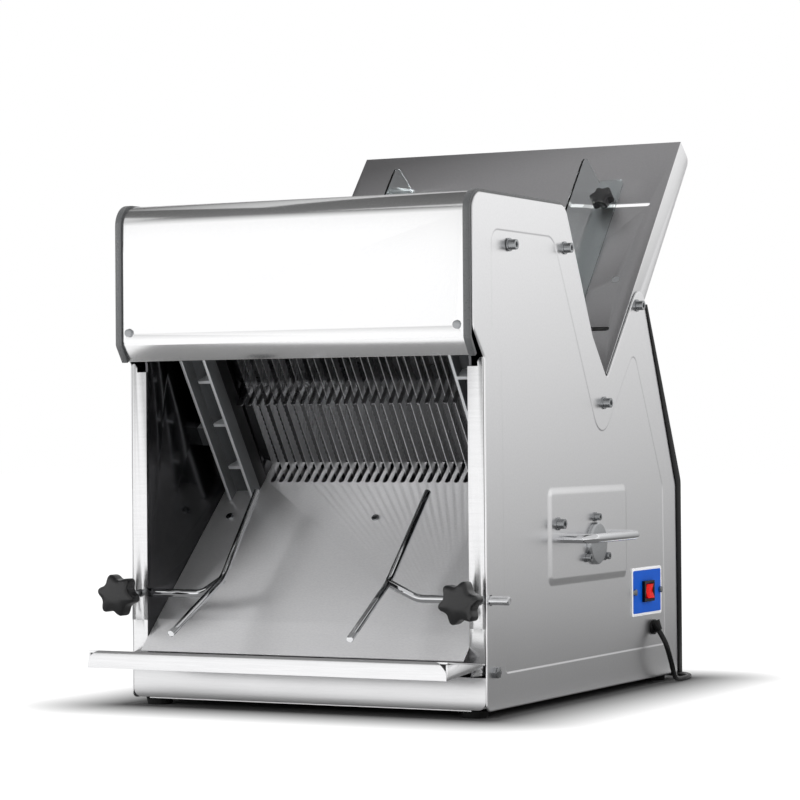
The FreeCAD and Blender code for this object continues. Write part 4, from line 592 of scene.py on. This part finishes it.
def star(scale):
    """A lobed knob on the X-Y plane: a flat disc of rings, drawn up to the knob's form."""
    step = 1.0 / (len(KNOB_RINGS) + 1)
    bpy.ops.mesh.primitive_circle_add(vertices=POINTS_ROUND_STAR, radius=1, fill_type="NGON")
    piece = bpy.context.object
    choose(piece, "FACE", lambda f: True)
    for _ in KNOB_RINGS[1:]:
        bpy.ops.mesh.inset(thickness=step, depth=0)
    leave()
    for v in piece.data.vertices:
        angle = math.atan2(v.co.y, v.co.x)
        inward, height = KNOB_RINGS[round((1 - math.hypot(v.co.x, v.co.y)) / step)]
        lobe = (0.5 + 0.5 * math.cos(LOBES * angle)) ** LOBE_SHARPNESS * max(0.0, 1 - inward / LOBE_FADE)
        reach = (KNOB_VALLEY + LOBE * lobe) * (1 - inward / KNOB_RADIUS)
        v.co = (reach * math.cos(angle) * scale, reach * math.sin(angle) * scale, height * scale)
    choose(piece, "VERT", lambda v: abs(v.co.z) < 1e-6 and math.hypot(*v.co.xy) < UNDERSIDE * scale)
    bpy.ops.mesh.edge_face_add()
    bpy.ops.mesh.select_all(action="SELECT")
    bpy.ops.mesh.normals_make_consistent(inside=False)
    leave()
    return piece


def knob(node, body, scale, shanks, matrix):
    """A star with the turned parts under it, in the place of one node."""
    settle(star(scale), node + "_star", PHENOLIC, body, [node], matrix)
    for part, points, radius, length, middle, edge, finish in shanks:
        bpy.ops.mesh.primitive_cylinder_add(vertices=points, radius=radius, depth=length,
                                            location=(0, 0, middle))
        piece = bpy.context.object
        if edge:
            break_edges(piece, *edge)
        settle(piece, f"{node}_{part}", finish, body, (), matrix)


def knobs():
    """The four knobs: one on each loaf guide rod and one on each of the tray's clear guides."""
    in_tray = (Matrix.Translation(mm(0, *TRAY_FOOT)) @ Matrix.Rotation(TRAY_RISE, 4, "X")
               @ Matrix.Scale(0.001, 4))
    for side, word in ((1, "right"), (-1, "left")):
        at_rod = (Matrix.Translation(mm(side * ROD_KNOB_X, ROD_KNOB_BACK, ROD_HEIGHT))
                  @ Matrix.Rotation(math.radians(90), 4, "X")
                  @ Matrix.Rotation(side * ROD_KNOB_TURN, 4, "Z") @ Matrix.Scale(0.001, 4))
        knob(f"rod_knob_{word}", f"{word}_rod_knob", 1.0, ROD_SHANKS, at_rod)
        on_tray = in_tray @ Matrix.Translation((side * GUIDE_STUD, SLOT_HIGH, TRAY_KNOB_LIFT))
        knob(f"feed_knob_{word}", f"{word}_guide_knob", TRAY_KNOB_SCALE, TRAY_SHANKS, on_tray)


# Switch plate: a white enamelled plate with a blue field

# half length, half height and corner radius of the plate and of its field
PLATE = (48.0, 30.0, 4.0)
BLUE_FIELD = (44.6, 26.6, 2.5)
PLATE_SHEET = 1.2
ENAMEL = 0.12
PLATE_EDGE = 0.35


def slab(half_length, half_height, corner, bottom, rise):
    """A closed plate with rounded corners, from one height up."""
    piece = polygon([(-half_length, -half_height, corner), (half_length, -half_height, corner),
                     (half_length, half_height, corner), (-half_length, half_height, corner)], 6)
    for v in piece.data.vertices:
        v.co.z = bottom
    choose(piece, "FACE", lambda f: True)
    bpy.ops.mesh.extrude_region_move(TRANSFORM_OT_translate={"value": (0, 0, rise)})
    leave()
    return piece


def switch_plate():
    """The plate in the right cover's sunk field."""
    stand = on_side(1, HALF_BODY - RECESS, *SWITCH)
    plate = slab(*PLATE, 0.0, PLATE_SHEET)
    break_edges(plate, PLATE_EDGE, 3)
    settle(plate, "switch_plate_rim", ENAMEL_WHITE, "machine", ["switch_plate"], stand)
    field = slab(*BLUE_FIELD, PLATE_SHEET, ENAMEL)
    settle(field, "switch_plate_blue_field", ENAMEL_BLUE, "machine", (), stand)


# Mains lead

WIRE = 6.5
# height of the lead's middle where it lies on the floor
LYING = 3.3
# the free stretch from the gland to the coil, the same points as the construction's route
LEAD_ROUTE = [(240.5, 482, 67), (247.6, 482.4, 56), (252, 483.5, 43), (254.5, 490, 24), (252.5, 502, 10.5),
              (250, 518, LYING), (251, 545, LYING), (247, 572, LYING), (230, 594, LYING), (203, 601, LYING),
              (172, 598.5, LYING), (141, 602, LYING), (112, 600.5, LYING)]
COIL_RADIUS = 49.0
COIL_TURNS = 3
COIL_PITCH = WIRE + 1.4
# how far the coil's middle lies on from the end of the free stretch, in widths of the lead
COIL_LEAD_IN = 1.2
POINTS_PER_TURN = 16
PLUG_RADIUS = 17.0
# the last stretch: distance from the coil's end, and share of the rise to the plug's middle
TO_PLUG = ((12, 0.06), (24, 0.3), (36, 0.7), (48, 0.95), (58, 1.0), (64.5, 1.0))


def coil_route():
    """The put-away turns: a spiral inward, half a turn up, and out again on top."""
    start = Vector(LEAD_ROUTE[-1])
    heading = (start - Vector(LEAD_ROUTE[-2])).normalized()
    across = Vector((0, 0, 1)).cross(heading)
    centre = start + heading * WIRE * COIL_LEAD_IN - across * COIL_RADIUS
    inner = COIL_RADIUS - COIL_PITCH * COIL_TURNS
    points = []
    for k in range(2 * COIL_TURNS * POINTS_PER_TURN + 1):
        half_turns = 2 * k / POINTS_PER_TURN
        if half_turns <= 2 * COIL_TURNS:
            radius, lift = COIL_RADIUS - COIL_PITCH / 2 * half_turns, 0.0
        elif half_turns <= 2 * COIL_TURNS + 1:
            radius, lift = inner, COIL_PITCH * (half_turns - 2 * COIL_TURNS)
        else:
            radius, lift = inner + COIL_PITCH / 2 * (half_turns - 2 * COIL_TURNS - 1), COIL_PITCH
        angle = math.pi * half_turns
        way = across * math.cos(angle) + heading * math.sin(angle)
        points.append(centre + way * radius + Vector((0, 0, lift)))
    last = points[-1]
    rise = PLUG_RADIUS - last.z
    for run, share in TO_PLUG:
        points.append(last + heading * run + Vector((0, 0, rise * share)))
    return points


def mains_lead():
    """One round lead from the gland, along the floor and through the coil to the plug."""
    points = [mm(*p) for p in LEAD_ROUTE] + [mm(*p) for p in coil_route()]
    curve = bpy.data.curves.new("mains_lead", "CURVE")
    curve.dimensions = "3D"
    curve.bevel_depth = WIRE / 2 / 1000
    curve.bevel_resolution = 6
    curve.resolution_u = 6
    curve.use_fill_caps = True
    line = curve.splines.new("NURBS")
    line.points.add(len(points) - 1)
    for spot, p in zip(line.points, points):
        spot.co = (*p, 1.0)
    line.order_u = 3
    line.use_endpoint_u = True
    lead = bpy.data.objects.new("mains_lead", curve)
    bpy.context.collection.objects.link(lead)
    curve.materials.append(JACKET)
    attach(lead, "machine")
    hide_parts("power_cord", "cord_coil")


# Second finishes on single faces

# share of a normal that has to point sideways, out of the rail or forward for the face to count as such
SIDEWAYS = 0.8
OUTWARD = 0.7
FORWARD = 0.5
# a rail's face that lies deeper than this is a pocket's, in metres
POCKET_DEPTH = 0.003
# a wall's face that looks forward from before this, in the drawing's millimetres, is its front flange's
FLANGE_BACK = 1.0


def finish_rail(rail):
    """Painted highlight on the ribs and outer edges, painted shade in the pockets between them; the side faces
    keep the plain cast skin.
    """
    outward = Vector((0, -math.cos(BLADE_LEAN), -math.sin(BLADE_LEAN)))
    rail.data.materials.append(LIT_CAST)
    rail.data.materials.append(POCKET_SHADE)
    front = max(v.co.dot(outward) for v in rail.data.vertices)
    for f in rail.data.polygons:
        if abs(f.normal.x) < SIDEWAYS:
            sunk = f.normal.dot(outward) > OUTWARD and front - f.center.dot(outward) > POCKET_DEPTH
            f.material_index = 2 if sunk else 1


def finish_faces(piece, material, test):
    """A second finish on the faces for which test is true."""
    piece.data.materials.append(material)
    for f in piece.data.polygons:
        if test(f):
            f.material_index = 1


def is_flank(f):
    """Whether a face of the feed tray belongs to its side flanges."""
    return abs(f.normal.x) > SIDEWAYS


def is_front_flange(f):
    """Whether a face of an inner wall is the front of its flange."""
    return f.normal.y < -FORWARD and f.center.y < mm(0, FLANGE_BACK, 0).y


# Stage, lamps and camera

# in metres: half sides of the machine's footprint, its centre, and how far out of it the painted shadow starts
# to fade and ends
FOOTPRINT = (0.233, 0.287, 0.0)
FOOTPRINT_CENTRE = (0.0, 0.03, 0.0)
PAINTED_SHADOW_REACH = (0.01, 0.14)
# the floor's grey for light that it throws back on the machine, and the near black that the view and
# reflections see: the depth of the painted shadow round the machine
FLOOR_BOUNCE = 0.7
FLOOR_SEEN = 0.06
# strength of the white world as light on surfaces, in reflections, and as seen
WORLD_LIGHT = 0.55
WORLD_MIRRORED = 0.75
WORLD_SEEN = 1.0
WHITE = (1, 1, 1, 1)
BLACK = (0, 0, 0, 1)
# soft lamps that reflections don't show: name, place, aim, width and height, watts
SOFTBOXES = (
    ("front_box", (-2.2, -2.7, 1.3), (0, 0, 0.35), (1.5, 1.4), 130),
    ("right_box", (2.6, 0.4, 1.7), (0, 0, 0.3), (1.8, 1.8), 30),
    ("top_box", (0.1, 0.2, 2.6), (0, 0, 0), (2.4, 2.4), 50),
)
# cards that only reflections show: name, place, aim, width and height, light at the low and at the
# high side, direction from the low to the high side
CARDS = (
    ("front_card", (-1.7, -3.3, 0.35), (0, -0.3, 0.35), (4.2, 1.0), (1.15, 1.2), (0, 0, 1)),
    ("upper_front_card", (-1.7, -3.3, 1.9), (0, -0.3, 1.9), (4.2, 2.1), (1.2, 0.1), (0, 0, 1)),
    ("ceiling_card", (-0.75, -0.5, 2.0), (-0.75, -0.5, 0.0), (2.8, 3.0), (0.12, 0.2), (0, -1, 0)),
    ("tray_card", (-0.2, 0.44, 0.95), (-0.2, 0.44, 0.0), (1.3, 0.9), (0.04, 0.7), (0.77, -0.64, 0)),
    ("back_right_card", (0.69, 0.89, 0.35), (0.233, 0.0, 0.35), (2.6, 1.1), (0.15, 1.2), (0.25, -0.13, 0.96)),
    ("right_floor_card", (0.95, 0.55, 0.003), (0.95, 0.55, -1.0), (1.35, 2.0), (0.2, 0.2), (0, 1, 0)),
    ("lip_card", (-0.17, -0.32, 0.1), (-0.17, -0.32, 0.0), (0.8, 0.24), (0.22, 0.32), (0, -1, 0)),
    ("drawer_card", (-0.25, -0.5, 0.05), (-0.25, -0.3, 0.05), (1.6, 0.12), (1.2, 1.2), (0, 0, 1)),
)
# the camera as solved from the machine's edges: sensor and lens, place in the drawing's millimetres,
# and turn, tilt and roll in radians
SENSOR = 36.0
LENS = 127.72
EYE = (1596.7, -2835.3, 321.5)
EYE_TURN = 0.4784
EYE_TILT = 0.0106
EYE_ROLL = -0.0075


def stage():
    """A white floor with a painted shadow: near the machine it is near black for the view and reflections, with
    its real shading on top, and its glow fades in to pure white away from it.
    """
    material, tree, shader = new_material("white_studio_floor")
    shader.inputs["Roughness"].default_value = 0.9
    path = add(tree, "ShaderNodeLightPath")
    seen = add(tree, "ShaderNodeMath", {"operation": "MAXIMUM"}, {
        0: path.outputs["Is Camera Ray"], 1: path.outputs["Is Glossy Ray"]}).outputs[0]
    tree.links.new(ramp(tree, seen, FLOOR_BOUNCE, FLOOR_SEEN), shader.inputs["Base Color"])
    away = add(tree, "ShaderNodeTexCoord").outputs["Object"]
    for step, amount in (("SUBTRACT", FOOTPRINT_CENTRE), ("ABSOLUTE", None), ("SUBTRACT", FOOTPRINT),
                         ("MAXIMUM", (0, 0, 0))):
        given = {0: away} if amount is None else {0: away, 1: amount}
        away = add(tree, "ShaderNodeVectorMath", {"operation": step}, given).outputs["Vector"]
    away = add(tree, "ShaderNodeVectorMath", {"operation": "LENGTH"}, {0: away}).outputs["Value"]
    # the floor's glow is withheld near the footprint: this is the painted shadow
    lift = add(tree, "ShaderNodeMath", {"operation": "MULTIPLY"}, {
        0: seen, 1: ramp(tree, away, 0.0, 1.0, *PAINTED_SHADOW_REACH)}).outputs[0]
    shader.inputs["Emission Color"].default_value = WHITE
    tree.links.new(lift, shader.inputs["Emission Strength"])
    bpy.ops.mesh.primitive_plane_add(size=30, location=(0, 0, 0))
    floor = bpy.context.object
    floor.name = "studio_floor"
    floor.data.materials.append(material)


def softbox(name, spot, aim, size, power):
    """A soft lamp that lights the machine and stays out of its reflections."""
    lamp = bpy.data.lights.new(name, "AREA")
    lamp.shape = "RECTANGLE"
    lamp.size, lamp.size_y = size
    lamp.energy = power
    made = bpy.data.objects.new(name, lamp)
    bpy.context.collection.objects.link(made)
    made.location = spot
    made.rotation_euler = (Vector(aim) - Vector(spot)).to_track_quat("-Z", "Y").to_euler()
    made.visible_glossy = False


def card(name, spot, aim, size, light, rise):
    """A studio card that only reflections see; its light changes evenly along rise."""
    material, tree, shader = new_material(name)
    where = add(tree, "ShaderNodeTexCoord").outputs["Object"]
    height = add(tree, "ShaderNodeSeparateXYZ", None, {"Vector": where}).outputs["Y"]
    shader.inputs["Base Color"].default_value = BLACK
    shader.inputs["Specular IOR Level"].default_value = 0.0
    shader.inputs["Emission Color"].default_value = WHITE
    tree.links.new(ramp(tree, height, *light, -0.5, 0.5), shader.inputs["Emission Strength"])
    bpy.ops.mesh.primitive_plane_add(size=1, location=spot)
    made = bpy.context.object
    made.name = name
    made.scale = (*size, 1)
    normal = (Vector(aim) - Vector(spot)).normalized()
    across = Vector(rise).cross(normal).normalized()
    made.rotation_euler = Matrix((across, normal.cross(across), normal)).transposed().to_euler()
    made.visible_camera = False
    made.visible_diffuse = False
    made.visible_shadow = False
    made.data.materials.append(material)


def world():
    """A white studio all round, dimmer as light than it looks."""
    made = bpy.data.worlds.new("studio")
    bpy.context.scene.world = made
    made.use_nodes = True
    tree = made.node_tree
    tree.nodes.clear()
    path = add(tree, "ShaderNodeLightPath")
    light, mirrored, white = (
        add(tree, "ShaderNodeBackground", None, {"Color": WHITE, "Strength": strength}).outputs[0]
        for strength in (WORLD_LIGHT, WORLD_MIRRORED, WORLD_SEEN))
    seen = add(tree, "ShaderNodeMath", {"operation": "MAXIMUM"}, {
        0: path.outputs["Is Camera Ray"], 1: path.outputs["Is Transmission Ray"]}).outputs[0]
    unseen = add(tree, "ShaderNodeMixShader", None, {0: path.outputs["Is Glossy Ray"], 1: light, 2: mirrored})
    mixed = add(tree, "ShaderNodeMixShader", None, {0: seen, 1: unseen.outputs[0], 2: white})
    add(tree, "ShaderNodeOutputWorld", None, {"Surface": mixed.outputs[0]})


def camera():
    """The photograph's own viewpoint."""
    eye = bpy.data.cameras.new("photo_view")
    eye.sensor_width = SENSOR
    eye.lens = LENS
    eye.clip_end = 50.0
    made = bpy.data.objects.new("photo_view", eye)
    bpy.context.collection.objects.link(made)
    made.matrix_world = (Matrix.Translation(mm(*EYE)) @ Matrix.Rotation(EYE_TURN, 4, "Z")
                         @ Matrix.Rotation(math.pi / 2 + EYE_TILT, 4, "X") @ Matrix.Rotation(EYE_ROLL, 4, "Z"))
    bpy.context.scene.camera = made


# The scene

bpy.context.scene.view_settings.view_transform = "Standard"
camera()
world()
stage()
for box in SOFTBOXES:
    softbox(*box)
for entry in CARDS:
    card(*entry)

mains_lead()
pressed_cover(1, "right")
pressed_cover(-1, "left")
blade_sets()
knobs()
switch_plate()

# nodes that keep the construction's form: name, finish, width of the broken edges in millimetres
dressed("front_shelf", FACE, 0.35)
# the tray's flanks get the lighter sheet as a painted highlight
finish_faces(dressed("feed_tray", TRAY, 0.5), GROUND, is_flank)
dressed("delivery_plate", BLASTED, 0.3)
dressed("crumb_drawer", GROUND, 0.3, body="drawer")
dressed("front_hood", BRIGHT, 0.3)
dressed("hood_trims", HOOD_TRIM, 0.8)
dressed("rear_trims", TRIM, 0.8)
for word in ("right", "left"):
    # the inner walls are greyed as painted shade; their front flanges keep bright ground stainless
    finish_faces(dressed(f"inner_wall_{word}", SHADED_MIRROR, 0.3), FACE, is_front_flange)
    finish_rail(dressed(f"guide_rail_{word}", CAST, 0.6))
    dressed(f"guide_rod_{word}", CHROME, 0.0, body=f"{word}_slice_guide")
    dressed(f"carry_handle_{word}", CHROME, 0.0)
    dressed(f"feed_guide_{word}", ACRYLIC, 0.25, body=f"{word}_loaf_guide")
dressed("side_bolts", ZINC, 0.3)
dressed("panel_screws", ZINC, 0.4)
dressed("bearing_caps", TURNED, 0.3)
dressed("throat_plates", SHADED_MIRROR, 0.2)
dressed("slide_strips", ACETAL, 0.3)
dressed("upper_comb", MILL, 0.2)
dressed("cable_gland", SHELL, 0.5)
dressed("switch_body", SHELL, 0.4)
dressed("switch_rocker", ROCKER, 0.4, body="rocker")

coat(SATIN, "rear_cover", "base_plate", "drawer_runners")
# the feed plate in the darker grey of painted shade
coat(SHADED_MILL, "feed_plate")
coat(RUBBER, "feet", "drive_belt")
coat(ZINC, "cross_bars", "main_shaft", "motor_shaft", "rod_clamps")
coat(DRAWN, "blade_frame_front", "blade_frame_rear", "blade_holders_front", "blade_holders_rear", "eccentrics",
     "connecting_rods_front", "connecting_rods_rear", "motor_bracket")
coat(TURNED, "bearing_housings", "drive_pulley", "motor_pulley")
coat(MOTOR_PAINT, "motor")
coat(JACKET, "power_plug")
